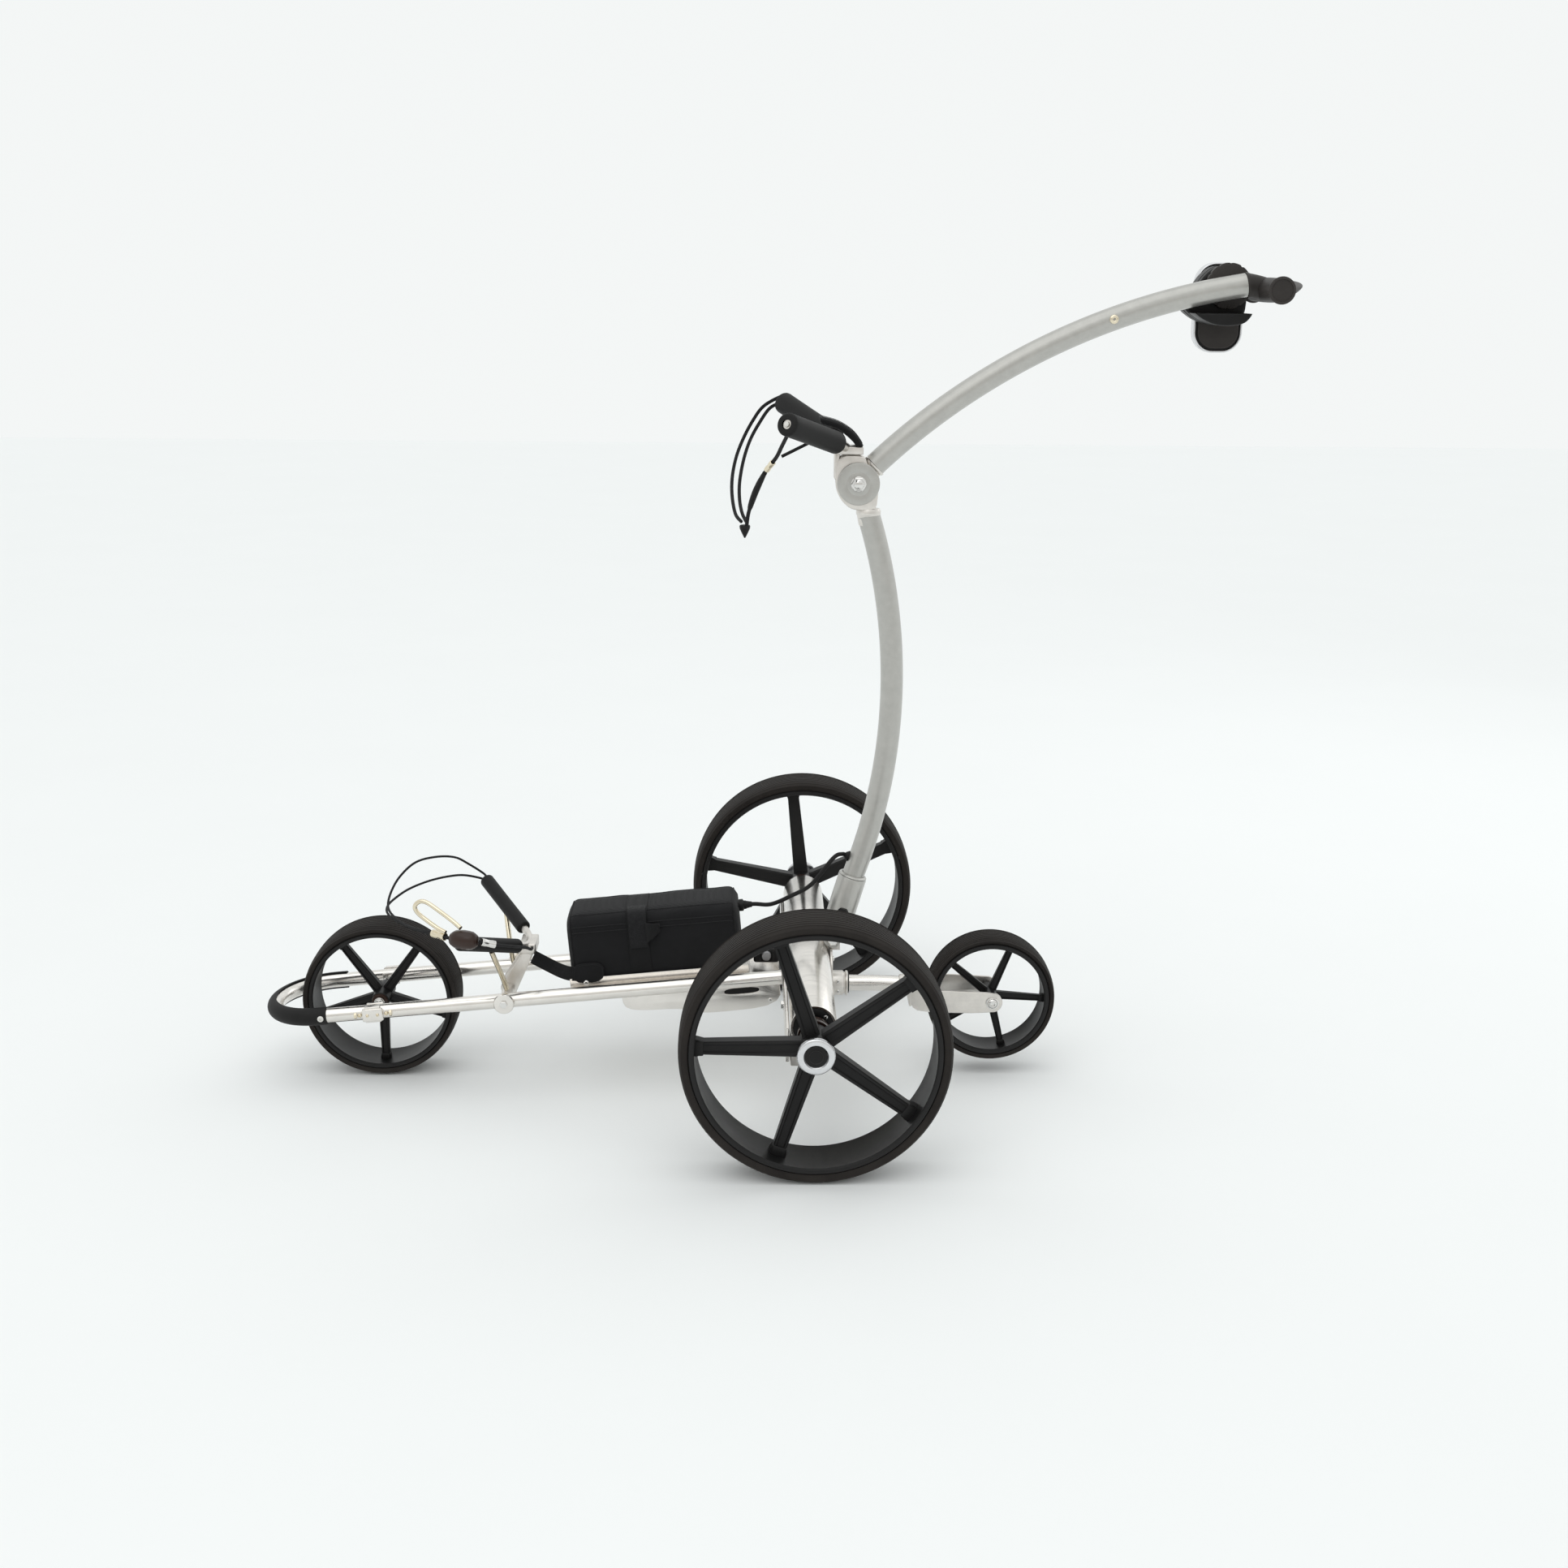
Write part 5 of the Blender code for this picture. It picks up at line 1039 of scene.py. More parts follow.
curve = arc_through(SOCKET_TOP, STEM_MID, HINGE, 300)
kept = [(x, z) for x, z in curve if SOCKET_TOP[1] + 0.004 < z < HINGE[1] - 0.0345]
kept = kept[::4] + [kept[-1]]
foot = [Vector(STEM_PIVOT) + lean * s for s in (0.0330, 0.0480, 0.0640, 0.0780)]
stem_path = [at(p[0], 0, p[1]) for p in [*foot, *kept]]
piece("lower_curved_tube", tube(stem_path, TUBE_R, 48, up=(0, 1, 0)), "painted_silver", "stem",
      "lower_handle_tube")
top_way = (stem_path[-1] - stem_path[-2]).normalized()

hinge = at(HINGE[0], 0, HINGE[1])
fork_outline = [(0.0255, 0.0310), (0.0255, -0.0060), (0.0190, -0.0195), (0.0065, -0.0300),
                (-0.0205, -0.0300), (-0.0225, -0.0130), (-0.0225, 0.0040), (-0.0190, 0.0130),
                (-0.0100, 0.0205), (-0.0070, 0.0310)]
fork_cheeks = [moved(plate(softened(fork_outline, 2), 0.0048, 0.0012), to((0, sign * 0.0099, 0)))
               for sign in (1, -1)]
bridge = rounded_box((0.0262, 0.0242, 0.0085), 0.0022, 4, (-0.0070, 0, -0.0250))
web_rib = rounded_box((0.0060, 0.0230, 0.0300), 0.0020, 4, (0.0243, 0, 0.0190))
neck = moved(revolve([(0.0001, -0.012), (0.0108, -0.012), (0.0131, -0.0005), (0.0140, 0.0010),
                      (0.0140, 0.0040), (0.0126, 0.0070), (0.0001, 0.0080)], 56), turn_to(top_way),
             to(stem_path[-1] - hinge))
fork_whole = [moved(m, to(hinge)) for m in (*fork_cheeks, bridge, web_rib, neck)]
piece("hinge_fork_casting", fork_whole, "cast_aluminium", "stem", "hinge_fork")

discs = []
for turn in (Y_UP, Y_DOWN):
    discs.append(moved(annulus([(0.0040, 0.0127), (0.0226, 0.0127), (0.0236, 0.0132), (0.0240, 0.0142),
                                (0.0240, 0.0158), (0.0234, 0.0168), (0.0222, 0.0172), (0.0140, 0.0172),
                                (0.0132, 0.0169), (0.0124, 0.0172), (0.0040, 0.0172)], 88), turn))
piece("hinge_clamp_discs", [moved(d, to(hinge)) for d in discs], "painted_silver", "stem", "hinge_clamp")
cap_nut = joined("nut", [
    hex_head(0.0150, 0.0040, 0.0086),
    moved(revolve([(0.0001, 0.0066), (0.0020, 0.0065), (0.0040, 0.0058), (0.0056, 0.0046), (0.0064, 0.0030),
                   (0.0064, 0.0010), (0.0001, 0.0010)], 40)),
])
piece("hinge_cap_nut", moved(cap_nut, Y_UP, to(hinge + Vector((0, 0.0172, 0)))), "polished_steel", "stem")
tail_bolt = moved(button_head(0.0078, 0.0034), Y_DOWN, to(hinge + Vector((0, -0.0172, 0))))
shank = moved(cylinder(0.0040, -0.0170, 0.0170, 28), Y_UP, to(hinge))
piece("hinge_bolt", [tail_bolt, shank], "polished_steel", "stem")


# ---------------------------------------------------------------- upper handle

heading = math.atan2(HINGE[1] - HANDLE_CENTRE[1], HINGE[0] - HANDLE_CENTRE[0]) + math.pi / 2
out_way = Vector((math.cos(heading), 0, math.sin(heading)))
tongue_line = arc(0.0195, (0, 0), 48, math.degrees(heading) + 36, 288)
side_step = Vector((-out_way.z, 0, out_way.x)) * 0.0112
for corner in (out_way * 0.0256 - side_step, out_way * 0.0256 + side_step):
    tongue_line.append((corner.x, corner.z))
tongue = plate(tongue_line, 0.0140, 0.0010, [arc(0.0044, (0, 0), 28)])
spigot = moved(revolve([(0.0001, 0.0215), (0.0104, 0.0215), (0.0130, 0.0240), (0.0138, 0.0252),
                        (0.0138, 0.0270), (0.0104, 0.0276), (0.0104, 0.0400), (0.0001, 0.0400)], 56),
               turn_to(out_way))
piece("hinge_tongue_casting", [moved(m, to(hinge)) for m in (tongue, spigot)], "cast_aluminium",
      "upper_handle", "hinge_tongue")

cx, cz = HANDLE_CENTRE
first = math.atan2(HINGE[1] - cz, HINGE[0] - cx) + 0.0274 / HANDLE_ARC_R
last = math.acos((HANDLE_END_X - cx) / HANDLE_ARC_R)
bend = [first + (last - first) * i / 72 for i in range(73)]
handle_path = [at(cx + HANDLE_ARC_R * math.cos(a), 0, cz + HANDLE_ARC_R * math.sin(a)) for a in bend]
piece("upper_curved_tube", tube(handle_path, TUBE_R, 48, up=(0, 1, 0)), "painted_silver", "upper_handle",
      "upper_handle_tube")
tube_end, tube_way = handle_path[-1], (handle_path[-1] - handle_path[-2]).normalized()
grommet = annulus([(0.0016, 0), (0.0046, 0), (0.0050, 0.0006), (0.0048, 0.0014), (0.0036, 0.0022),
                   (0.0022, 0.0024), (0.0016, 0.0020)], 36)
piece("cable_grommet", moved(grommet, Y_UP, to(at(-0.328, TUBE_R - 0.0006, 0.889))), "brass_steel",
      "upper_handle")

grip = at(GRIP_AXIS[0], 0, GRIP_AXIS[1])
rings = []
HALF_GRIP, GRIP_R, REACH = 0.0605, 0.0134, 0.0365
for k in range(61):
    y = HALF_GRIP * (2 * k / 60 - 1)
    swell = max(0.0, math.cos(math.pi * y / (2 * 0.062))) ** 1.3
    ring = []
    for i in range(56):
        a = TAU * i / 56
        pull = max(0.0, -math.cos(a)) ** 3 * swell
        r = GRIP_R * (1 - 0.06 * (1 - swell))
        ring.append(grip + Vector((r * math.cos(a) - pull * (REACH - GRIP_R), y,
                                   r * math.sin(a) + pull * 0.005)))
    rings.append(ring)
bar = loft(rings, 60)
reach = tube_end - grip
neck_rings = []
for k in range(13):
    share = k / 12
    along = (tube_way * (1 - share) - reach.normalized() * share).normalized()
    up = Vector((-along.z, 0, along.x))
    radius = 0.0136 - 0.0016 * share + (0.0006 if k < 2 else 0)
    spot = grip + reach * (1 - share) + tube_way * (0.0004 + 0.006 * share * (1 - share))
    neck_rings.append([spot + up * (radius * math.cos(TAU * i / 40))
                       + Vector((0, radius * math.sin(TAU * i / 40), 0)) for i in range(40)])
piece("t_grip_body", [bar, loft(neck_rings, 60)], "grey_plastic", "upper_handle", "t_grip")
for side, sign in SIDES:
    end_cap = revolve([(0.0001, 0.0), (0.0134, 0.0), (0.0144, 0.0004), (0.0148, 0.0012), (0.0146, 0.0020),
                       (0.0136, 0.0026), (0.0118, 0.0027), (0.0112, 0.0018), (0.0001, 0.0016)], 56)
    piece(side + "_grip_end_cap", moved(end_cap, outward(sign), to(grip + Vector((0, sign * 0.0602, 0)))),
          "grey_plastic", "upper_handle")

housing_line = softened([
    (-0.4115, 0.9008), (-0.4250, 0.8900), (-0.4400, 0.8836), (-0.4560, 0.8823), (-0.4730, 0.8850),
    (-0.4815, 0.8950), (-0.4828, 0.9100), (-0.4822, 0.9260), (-0.4760, 0.9400), (-0.4600, 0.9478),
    (-0.4440, 0.9460), (-0.4310, 0.9340), (-0.4220, 0.9160)], 3)
back_half = moved(plate(housing_line, 0.0378, 0.0034, steps=5), to(at(0, -0.0441, 0)))
low_line = [(x, z) for x, z in housing_line if z < 0.8975]
bowl = moved(plate(softened(low_line, 1), 0.0368, 0.0026, steps=5), to(at(0, -0.0062, 0)))
piece("control_housing_shell", [back_half, bowl], "black_plastic", "upper_handle", "control_housing")
parting = moved(plate([(0.9985 * (x + 0.4590) * 1.012 - 0.4590, 0.9160 + (z - 0.9160) * 1.012)
                       for x, z in housing_line], 0.0010, 0.0003), to(at(0, -0.0380, 0)))
piece("housing_parting_line", parting, "black_rubber", "upper_handle")
stub = revolve([(0.0001, -0.0340), (0.0036, -0.0340), (0.0036, -0.0162), (0.0030, -0.0156),
                (0.0001, -0.0156)], 28)
dial_spot = at(-0.4595, -0.0195, 0.9255)
piece("dial_spindle", moved(stub, Y_UP, to(at(-0.4595, 0, 0.9255))), "motor_steel", "upper_handle")

dial_points, dial_faces = [], []
levels = [(0.0040, -0.0046), (0.0214, -0.0046), (1.0, -0.0036), (1.0, 0.0036), (0.0214, 0.0046),
          (0.0040, 0.0046)]
count = 168
for i in range(count):
    a = TAU * i / count
    rim_r = 0.0250 - 0.0011 * max(0.0, math.cos(12 * a + 0.4)) ** 5
    for r, z in levels:
        r = rim_r if r == 1.0 else r
        dial_points.append((r * math.cos(a), r * math.sin(a), z))
for i in range(count):
    a, b = i * 6, ((i + 1) % count) * 6
    for k in range(6):
        m = (k + 1) % 6
        dial_faces.append((a + k, b + k, b + m, a + m))
dial = mesh_of("dial", dial_points, dial_faces, 32)
piece("speed_dial", moved(dial, Y_UP, to(dial_spot)), "grey_plastic", "speed_wheel", "speed_wheel")


def rounded_rect(half_x, half_z, corner, steps):
    line = []
    for qx, qz, start in ((1, 1, 0), (-1, 1, 90), (-1, -1, 180), (1, -1, 270)):
        line += arc(corner, (qx * (half_x - corner), qz * (half_z - corner)), steps, start, 90)
    return line


hand = at(-0.4615, 0, 0.9010)
keys = {"faster": 0.018, "slower": -0.018}
rim_line = rounded_rect(0.0280, 0.050, 0.0225, 14)
rim = plate(rim_line, 0.0150, 0.0018, [rounded_rect(0.0250, 0.047, 0.0200, 14)], steps=5)
piece("handset_rim", moved(rim, to(hand + Vector((0, -0.0729, 0)))), "silver_trim", "upper_handle", "handset")
holes = [arc(0.0066, (0, lift), 36) for lift in keys.values()]
face = plate(rounded_rect(0.0251, 0.0471, 0.0200, 14), 0.0034, 0.0008, holes)
under = plate(rounded_rect(0.0251, 0.0471, 0.0200, 14), 0.0150, 0.0012)
piece("handset_body", [moved(face, to(hand + Vector((0, -0.0837, 0)))),
                       moved(under, to(hand + Vector((0, -0.0741, 0))))], "black_plastic", "upper_handle")
back_pad = plate(rounded_rect(0.0230, 0.0450, 0.0180, 12), 0.0030, 0.0012)
piece("handset_back", moved(back_pad, to(hand + Vector((0, -0.0647, 0)))), "grey_plastic", "upper_handle")
for name, lift in keys.items():
    key = revolve([(0.0001, -0.0018), (0.0062, -0.0018), (0.0062, 0.0010), (0.0056, 0.0018), (0.0040, 0.0019),
                   (0.0001, 0.0014)], 44)
    piece(name + "_key", moved(key, Y_DOWN, to(hand + Vector((0, -0.0854, lift)))), "grey_plastic",
          name + "_button", name + "_button")
stop = revolve([(0.0001, 0), (0.0056, 0), (0.0056, 0.0006), (0.0048, 0.0010), (0.0001, 0.0011)], 40)
piece("handset_stop_pad", moved(stop, Y_DOWN, to(hand + Vector((0, -0.0853, 0)))), "brown_plastic",
      "upper_handle")
# ---------------------------------------------------------------- bag brackets, their straps and cords

UPPER_TIP = {1: at(0.0325, 0.1185, 0.7803), -1: at(0.0325, -0.1185, 0.7880)}
UPPER_ROOT = {1: at(-0.0270, 0.0230, 0.7525), -1: at(-0.0270, -0.0230, 0.7540)}
LOWER_TIP = at(0.3975, 0.118, 0.1990)
LOWER_ROOT = at(0.3410, 0.0300, 0.1650)
BRACKET_PIVOT = at(0.356, 0, RAIL_Z - 0.356 * math.tan(PITCH))


def other_side(point):
    return Vector((point.x, -point.y, point.z))


def sleeve(root, tip, radius, bore, first, last):
    """A foam sleeve on a bracket rod: a soft body with rounded ends, slightly slimmer in its middle."""
    way = (tip - root).normalized()
    low, high = root + way * first, tip + way * last
    long = (high - low).length
    soft = radius * 0.30
    profile = [(bore, 0.0)]
    profile += [(radius - soft + soft * math.sin(a), soft - soft * math.cos(a))
                for a in (math.radians(15 * k) for k in range(0, 7))]
    profile += [(radius * (1 - 0.012 * math.sin(math.pi * k / 10)), soft + (long - 2 * soft) * k / 10)
                for k in range(1, 10)]
    profile += [(radius - soft + soft * math.cos(a), long - soft + soft * math.sin(a))
                for a in (math.radians(15 * k) for k in range(0, 7))]
    profile += [(bore, long)]
    return moved(revolve(profile, 48), turn_to(way), to(low))


def ferrule(a, b, radius, bore=0.0):
    """A crimped metal sleeve between two points."""
    a, b = Vector(a), Vector(b)
    long = (b - a).length
    inner = bore or radius * 0.7
    profile = [(inner, 0), (radius * 0.9, 0), (radius, 0.0004), (radius, long * 0.30),
               (radius * 0.93, long * 0.36), (radius * 0.93, long * 0.64), (radius, long * 0.70),
               (radius, long - 0.0004), (radius * 0.9, long), (inner, long)]
    return moved(revolve(profile + [profile[0]], 28), turn_to(b - a), to(a))


def free_cord(name, points, diameter, body, node):
    """A braided cord as a mesh tube along its own path."""
    path = smooth_path(points, 0.0035)
    obj = piece(name, tube(path, diameter / 2, 14), "braided_cord", body, node)
    return obj


# upper bracket
base = moved(rounded_box((0.031, 0.0285, 0.0093), 0.0016, 4), to(at(-0.0395, 0, 0.7442)))
rod_route = [UPPER_TIP[1], UPPER_TIP[1].lerp(UPPER_ROOT[1], 0.5), UPPER_ROOT[1], at(-0.0350, 0.011, 0.7470),
             at(-0.0360, 0, 0.7466), at(-0.0350, -0.011, 0.7473), UPPER_ROOT[-1],
             UPPER_TIP[-1].lerp(UPPER_ROOT[-1], 0.5), UPPER_TIP[-1]]
rod = tube(smooth_path(rod_route, 0.003), 0.0050, 24)
piece("upper_bag_bracket_body", [base, rod], "cast_aluminium", "stem", "upper_bag_bracket")
for label, sign in SIDES:
    sheath = sleeve(UPPER_ROOT[sign], UPPER_TIP[sign], 0.0126, 0.0054, 0.004, 0.0015)
    obj = piece(f"upper_{label}_sleeve_foam", sheath, "black_rubber", "stem", f"upper_{label}_sleeve")
    way = (UPPER_TIP[sign] - UPPER_ROOT[sign]).normalized()
    rivet = moved(button_head(0.0029, 0.0012, 0.0), turn_to(way), to(UPPER_TIP[sign] + way * 0.0013))
    piece(f"upper_{label}_prong_rivet", rivet, "white_plastic", "stem")

strap_top = [at(x, 0, z) for x, z in
             ((-0.0550, 0.7496), (-0.0502, 0.7578), (-0.0415, 0.7668), (-0.0258, 0.7758), (-0.0052, 0.7812))]
strap_under = [at(x, 0, z) for x, z in ((-0.0460, 0.7496), (-0.0428, 0.7538), (-0.0357, 0.7602),
                                        (-0.0250, 0.7675), (-0.0076, 0.7728))]


def strap_ring(upper, lower, half=0.0185):
    """One section of the strap: a flat lens with worn edges."""
    ring = []
    for k in range(24):
        a = TAU * k / 24
        y = half * math.copysign(abs(math.cos(a)) ** 0.35, math.cos(a))
        share = 0.5 + 0.5 * math.copysign(abs(math.sin(a)) ** 0.7, math.sin(a))
        point = lower.lerp(upper, share)
        ring.append(Vector((point.x, y, point.z)))
    return ring


top_line, under_line = smooth_path(strap_top, 0.0016), smooth_path(strap_under, 0.0016)
rows = 32
rings = []
for k in range(rows + 1):
    share = k / rows
    upper = top_line[round(share * (len(top_line) - 1))]
    lower = under_line[round(share * (len(under_line) - 1))]
    rings.append(strap_ring(upper, lower))
piece("upper_bag_strap_webbing", loft(rings), "webbing", "stem", "upper_bag_strap")
for label, edge in (("left", 0.0150), ("right", -0.0150)):
    line = [Vector((p.x, edge, p.z + 0.0001)) for p in top_line[2:-2]]
    piece(f"upper_bag_strap_{label}_stitching", tube(line, 0.00028, 6), "thread", "stem")

# upper cord loop
far = (UPPER_TIP[-1] - UPPER_ROOT[-1]).normalized()
face = UPPER_TIP[-1] + far * 0.0024
lift = far.cross(Vector((0, 0, 1))).cross(far).normalized()
first, second = face - lift * 0.0042, face + lift * 0.0042
free_cord("upper_cord_outer_braid",
          [second, second + far * 0.0060, at(0.0560, -0.1275, 0.7830), at(0.0690, -0.1200, 0.7660),
           at(0.0800, -0.1080, 0.7460), at(0.0880, -0.0900, 0.7260), at(0.0922, -0.0680, 0.7050),
           at(0.0920, -0.0450, 0.6860), at(0.0880, -0.0200, 0.6690), at(0.0812, -0.0040, 0.6622)],
          0.0040, "stem", "upper_cord_outer")
free_cord("upper_cord_inner_braid",
          [first, first + far * 0.0060, at(0.0490, -0.1265, 0.7805), at(0.0610, -0.1180, 0.7640),
           at(0.0715, -0.1060, 0.7455), at(0.0790, -0.0880, 0.7245), at(0.0835, -0.0660, 0.7010),
           at(0.0835, -0.0450, 0.6830), at(0.0805, -0.0220, 0.6700), at(0.0757, -0.0045, 0.6622)],
          0.0040, "stem", "upper_cord_inner")


def near_skin(share, towards):
    """A point on the underside of the upper left sleeve, share of the way to its tip."""
    way = (UPPER_TIP[1] - UPPER_ROOT[1]).normalized()
    spot = UPPER_ROOT[1].lerp(UPPER_TIP[1], share)
    away = towards - spot
    away = (away - way * away.dot(way)).normalized()
    return spot + away * 0.0146


split = at(0.0430, 0.0580, 0.7400)
return_route = [at(0.0750, 0.0030, 0.6597), at(0.0727, 0.0080, 0.6750), at(0.0650, 0.0260, 0.7000),
                at(0.0540, 0.0440, 0.7240), split, near_skin(0.80, split).lerp(split, 0.5),
                near_skin(0.80, split)]
collar = ferrule(at(0.0534, 0.0448, 0.7248), at(0.0464, 0.0542, 0.7346), 0.0034, 0.0024)
collar_obj = piece("upper_cord_crimp", collar, "brass_steel", "stem")
wire_path = smooth_path(return_route, 0.0035)
cover_path = [p for p in wire_path if at(0, 0, 0.677).z < p.z < at(0, 0, 0.7235).z]
cover = tube(cover_path, 0.0034, 20, scale=lambda t: 0.78 + 0.30 * math.sin(math.pi * min(1, t * 1.1)) ** 0.6)
cover_obj = piece("upper_cord_cover", cover, "black_rubber", "stem")
free_cord("upper_cord_return_braid", return_route, 0.0044, "stem", "upper_cord_return")
fork_start = split + Vector((-0.0058, -0.0010, 0.0010))
free_cord("upper_cord_branch_braid",
          [fork_start, near_skin(0.40, split).lerp(fork_start, 0.5), near_skin(0.40, split)],
          0.0036, "stem", "upper_cord_branch")
hook_profile = [(0, 0.6592), (0.0040, 0.6592), (0.0056, 0.6588), (0.0062, 0.6574), (0.0058, 0.6548),
                (0.0042, 0.6512), (0.0029, 0.6485), (0.0016, 0.6460), (0.0009, 0.6446), (0, 0.6441)]
piece("upper_cord_hook_cap", moved(revolve(hook_profile[::-1], 36), to(at(0.0772, 0, 0))), "black_plastic",
      "stem", "upper_cord_hook")

# lower bracket
px, pz = BRACKET_PIVOT.x, BRACKET_PIVOT.z
hub = at(0.3330, 0, 0.1600)
pivot_rod = moved(revolve([(0, -0.0512), (0.0066, -0.0512), (0.0070, -0.0508), (0.0070, 0.0508),
                           (0.0066, 0.0512), (0, 0.0512)], 40), Y_UP, to(BRACKET_PIVOT))
legs = [pivot_rod]
to_hub = (hub.x - px, hub.z - 0.0090 - pz)
lean = math.degrees(math.atan2(to_hub[1], to_hub[0]))
for sign in (1, -1):
    outline = [*arc(0.0098, (0, 0), 15, lean + 90, 180), *arc(0.0060, to_hub, 11, lean - 90, 180)]
    legs.append(moved(plate(outline, 0.0039, 0.0008), to(Vector((px, sign * 0.0170, pz)))))
legs.append(moved(rounded_box((0.0195, 0.0395, 0.0125), 0.0018, 4), to(hub - Vector((0, 0, 0.0030)))))
half_route = [LOWER_TIP, LOWER_TIP.lerp(LOWER_ROOT, 0.5), LOWER_ROOT, at(0.3345, 0.012, 0.1606)]
lower_route = half_route + [hub] + [other_side(p) for p in half_route[::-1]]
legs.append(tube(smooth_path(lower_route, 0.003), 0.0045, 24))
piece("lower_bag_bracket_body", legs, "cast_aluminium", "lower_bracket", "lower_bag_bracket")
for label, sign in SIDES:
    tip, root = (p if sign > 0 else other_side(p) for p in (LOWER_TIP, LOWER_ROOT))
    sheath = sleeve(root, tip, 0.0086, 0.0049, 0.003, 0.0015)
    piece(f"lower_{label}_sleeve_foam", sheath, "black_rubber", "lower_bracket",
                    f"lower_{label}_sleeve")

# lower cord loop
tip = other_side(LOWER_TIP)
way = (tip - other_side(LOWER_ROOT)).normalized()
face = tip + way * 0.0024
lift = Vector((0, 0, 0.0035))
crimp = piece("lower_cord_crimp", ferrule(at(0.4288, 0.1090, 0.2081), at(0.4130, 0.1212, 0.2080), 0.0046,
                                          0.0030), "brass_steel", "lower_bracket")
free_cord("lower_cord_upper_braid",
          [face + lift, face + lift + way * 0.0080, at(0.4215, -0.1270, 0.2180), at(0.4360, -0.1120, 0.2310),
           at(0.4560, -0.0880, 0.2385), at(0.4765, -0.0640, 0.2385), at(0.4925, -0.0400, 0.2265),
           at(0.4990, -0.0120, 0.2130), at(0.4950, 0.0180, 0.2060), at(0.4790, 0.0480, 0.2030),
           at(0.4600, 0.0760, 0.2045), at(0.4430, 0.0970, 0.2075), at(0.4262, 0.1107, 0.2098)],
          0.0028, "lower_bracket", "lower_cord_upper")
free_cord("lower_cord_lower_braid",
          [face - lift, face - lift + way * 0.0070, at(0.4250, -0.1250, 0.2035), at(0.4420, -0.1120, 0.2065),
           at(0.4636, -0.0900, 0.2075), at(0.4853, -0.0680, 0.2040), at(0.4990, -0.0430, 0.1995),
           at(0.5030, -0.0150, 0.1985), at(0.4970, 0.0130, 0.1985), at(0.4800, 0.0420, 0.1985),
           at(0.4590, 0.0710, 0.2005), at(0.4420, 0.0930, 0.2035), at(0.4262, 0.1107, 0.2062)],
          0.0028, "lower_bracket", "lower_cord_lower")
knob_from, knob_to = at(0.4065, 0.1265, 0.2080), at(0.3745, 0.1360, 0.2080)
knob_way = (knob_to - knob_from).normalized()
knob_profile = [(0, -0.0165), (0.0050, -0.0165), (0.0062, -0.0160), (0.0082, -0.0138), (0.0100, -0.0108),
                (0.0108, -0.0060), (0.0112, 0.0000), (0.0108, 0.0060), (0.0100, 0.0108), (0.0082, 0.0138),
                (0.0062, 0.0160), (0.0050, 0.0165), (0, 0.0165)]
piece("cord_knob_body", moved(revolve(knob_profile, 10), turn_to(knob_way), to((knob_from + knob_to) / 2)),
      "brown_plastic", "lower_bracket", "cord_knob")
rear_crimp = piece("lower_cord_rear_crimp", ferrule(at(0.3700, 0.1358, 0.2072), at(0.3560, 0.1292, 0.2018),
                                                    0.0042, 0.0026), "polished_steel", "lower_bracket")
free_cord("lower_cord_return_braid",
          [knob_to + knob_way * 0.0012, at(0.3650, 0.1350, 0.2060), at(0.3531, 0.1270, 0.2005),
           at(0.3411, 0.1050, 0.1912), at(0.3300, 0.0660, 0.1760), at(0.3270, 0.0380, 0.1640),
           at(0.3275, 0.0208, 0.1590)],
          0.0036, "lower_bracket", "lower_cord_return")
hook_route = [at(0.3940, 0.1300, 0.2215), at(0.4035, 0.1235, 0.2275), at(0.4202, 0.1180, 0.2385),
              at(0.4340, 0.1130, 0.2462), at(0.4425, 0.1110, 0.2462), at(0.4478, 0.1100, 0.2400),
              at(0.4445, 0.1100, 0.2325), at(0.4366, 0.1120, 0.2262), at(0.4226, 0.1180, 0.2180),
              at(0.4120, 0.1235, 0.2140)]
piece("wire_hook_loop", tube(smooth_path(hook_route, 0.002), 0.0025, 20), "brass_steel", "lower_bracket",
      "wire_hook")

stub = smooth_path([at(0.4135, 0.1210, 0.2080), at(0.4095, 0.1242, 0.2080), at(0.4068, 0.1262, 0.2080)],
                   0.001)
piece("lower_cord_knob_end", tube(stub, 0.0020, 14), "braided_cord", "lower_bracket")
for label, sign in SIDES:
    stay = [Vector((px, sign * 0.0400, pz + 0.0055)), Vector((px + 0.0040, sign * 0.0440, pz + 0.0220)),
            Vector((px + 0.0095, sign * 0.0600, pz + 0.0480)),
            Vector((px + 0.0125, sign * 0.0705, pz + 0.0640))]
    piece(f"bracket_{label}_stay", tube(smooth_path(stay, 0.002), 0.0030, 18), "brass_steel", "lower_bracket")

# boss discs of the pivot, outside the rails
for label, sign in SIDES:
    disc = revolve([(0, 0), (0.0112, 0), (0.0120, 0.0008), (0.0120, 0.0030), (0.0112, 0.0040),
                    (0.0070, 0.0042), (0, 0.0042)], 48)
    bolt = moved(hex_head(0.0080, 0.0030), to((0, 0, 0.0042)))
    side = outward(sign)
    spot = Vector((px, sign * 0.0695, pz))
    piece(f"bracket_{label}_boss", moved(disc, side, to(spot)), "bare_aluminium", "chassis")
    piece(f"bracket_{label}_boss_bolt", moved(bolt, side, to(spot)), "polished_steel", "chassis")

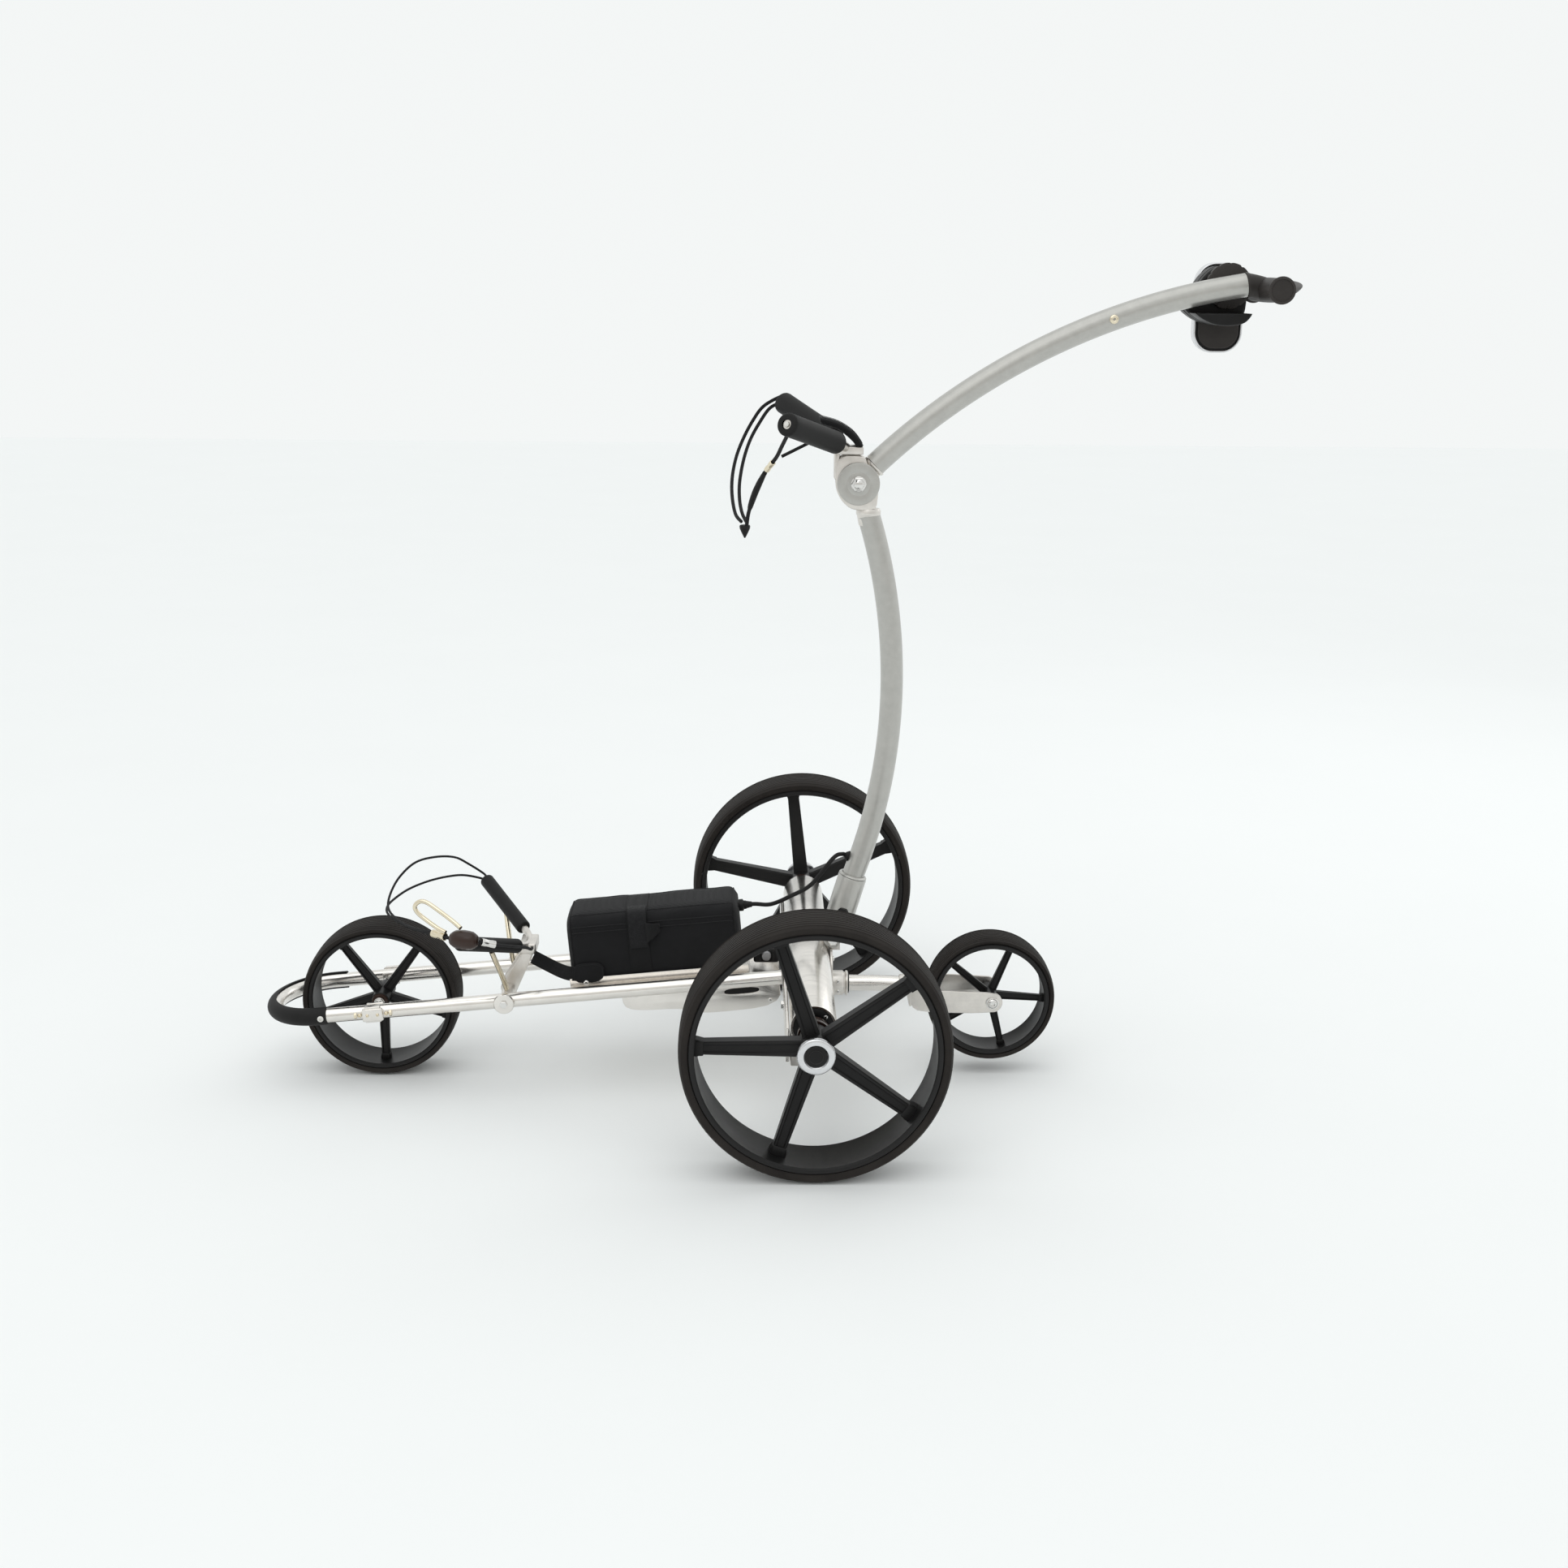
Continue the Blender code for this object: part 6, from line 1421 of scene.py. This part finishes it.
# tie strap from the bracket's hub to the tray
band_route = [at(0.3262, 0.0232, 0.1492), at(0.3160, 0.0250, 0.1443), at(0.3040, 0.0285, 0.1392),
              at(0.2930, 0.0355, 0.1365), at(0.2830, 0.0430, 0.1360), at(0.2740, 0.0462, 0.1364)]
half, thick, edge = 0.0085, 0.0018, 0.0005
corners = ((thick / 2, half, 0), (-thick / 2, half, 90), (-thick / 2, -half, 180), (thick / 2, -half, 270))
band_section = [(x - math.copysign(edge, x) + edge * math.cos(math.radians(a + 30 * k)),
                 z - math.copysign(edge, z) + edge * math.sin(math.radians(a + 30 * k)))
                for x, z, a in corners for k in range(4)]
band = piece("tie_strap_webbing", sweep(smooth_path(band_route, 0.0018), band_section), "webbing", None,
             "tie_strap")
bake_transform(band)
flap_outline = softened([(-0.0190, 0.0125), (0.0190, 0.0125), (0.0190, -0.0118), (-0.0170, -0.0118)], 2)
flap = moved(plate(flap_outline, 0.0016, 0.0005), RAIL_TURN, to(at(0.2585, 0.0468, 0.1375)))
piece("tie_strap_flap", flap, "black_fabric", "chassis")
flap_edge = [(x * 0.90, z * 0.84) for x, z in flap_outline]
flap_line = [Vector((x, 0.0008, z)) for x, z in flap_edge] + [Vector((flap_edge[0][0], 0.0008,
                                                                      flap_edge[0][1]))]
piece("tie_strap_flap_stitching", moved(tube(flap_line, 0.00025, 6), RAIL_TURN,
                                        to(at(0.2585, 0.0468, 0.1375))), "thread", "chassis")

# battery lead, from the connector on the case to a grommet in the front of the lower tube
lead_arc = [at(x, 0, z) for x, z in arc_through(SOCKET_TOP, STEM_MID, HINGE, 200)]
lead_index = min(range(1, 199), key=lambda i: abs(lead_arc[i].z - 0.2630))
lead_way = (lead_arc[lead_index + 1] - lead_arc[lead_index - 1]).normalized()
lead_out = Vector((lead_way.z, 0, -lead_way.x))
lead_end = lead_arc[lead_index] + lead_out * (TUBE_R + 0.0008)
lead_route = [on_rails(0.0771, 0, 0.0725), on_rails(0.0580, 0, 0.0725), at(0.0446, 0.0060, 0.2100),
              at(0.0208, 0.0170, 0.2241), at(-0.0028, 0.0215, 0.2400),
              lead_end + Vector((0.0180, 0.0130, 0.0010)), lead_end + lead_out * 0.0070, lead_end]
lead = piece("battery_lead_jacket", tube(smooth_path(lead_route, 0.003), 0.0025, 18), "black_rubber", None,
             "battery_lead")
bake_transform(lead)
gland = annulus([(0.0027, 0.0), (0.0062, 0.0), (0.0062, 0.0008), (0.0050, 0.0022), (0.0038, 0.0040),
                 (0.0027, 0.0044)], 32)
piece("battery_lead_grommet", moved(gland, turn_to(lead_out), to(lead_end - lead_out * 0.0006)),
      "black_rubber", "stem")

# the plain CAD node that stays in view
for node in ("battery_pack",):
    mesh = bpy.data.objects[node].data
    mesh.materials.clear()
    mesh.materials.append(looks["black_plastic"])
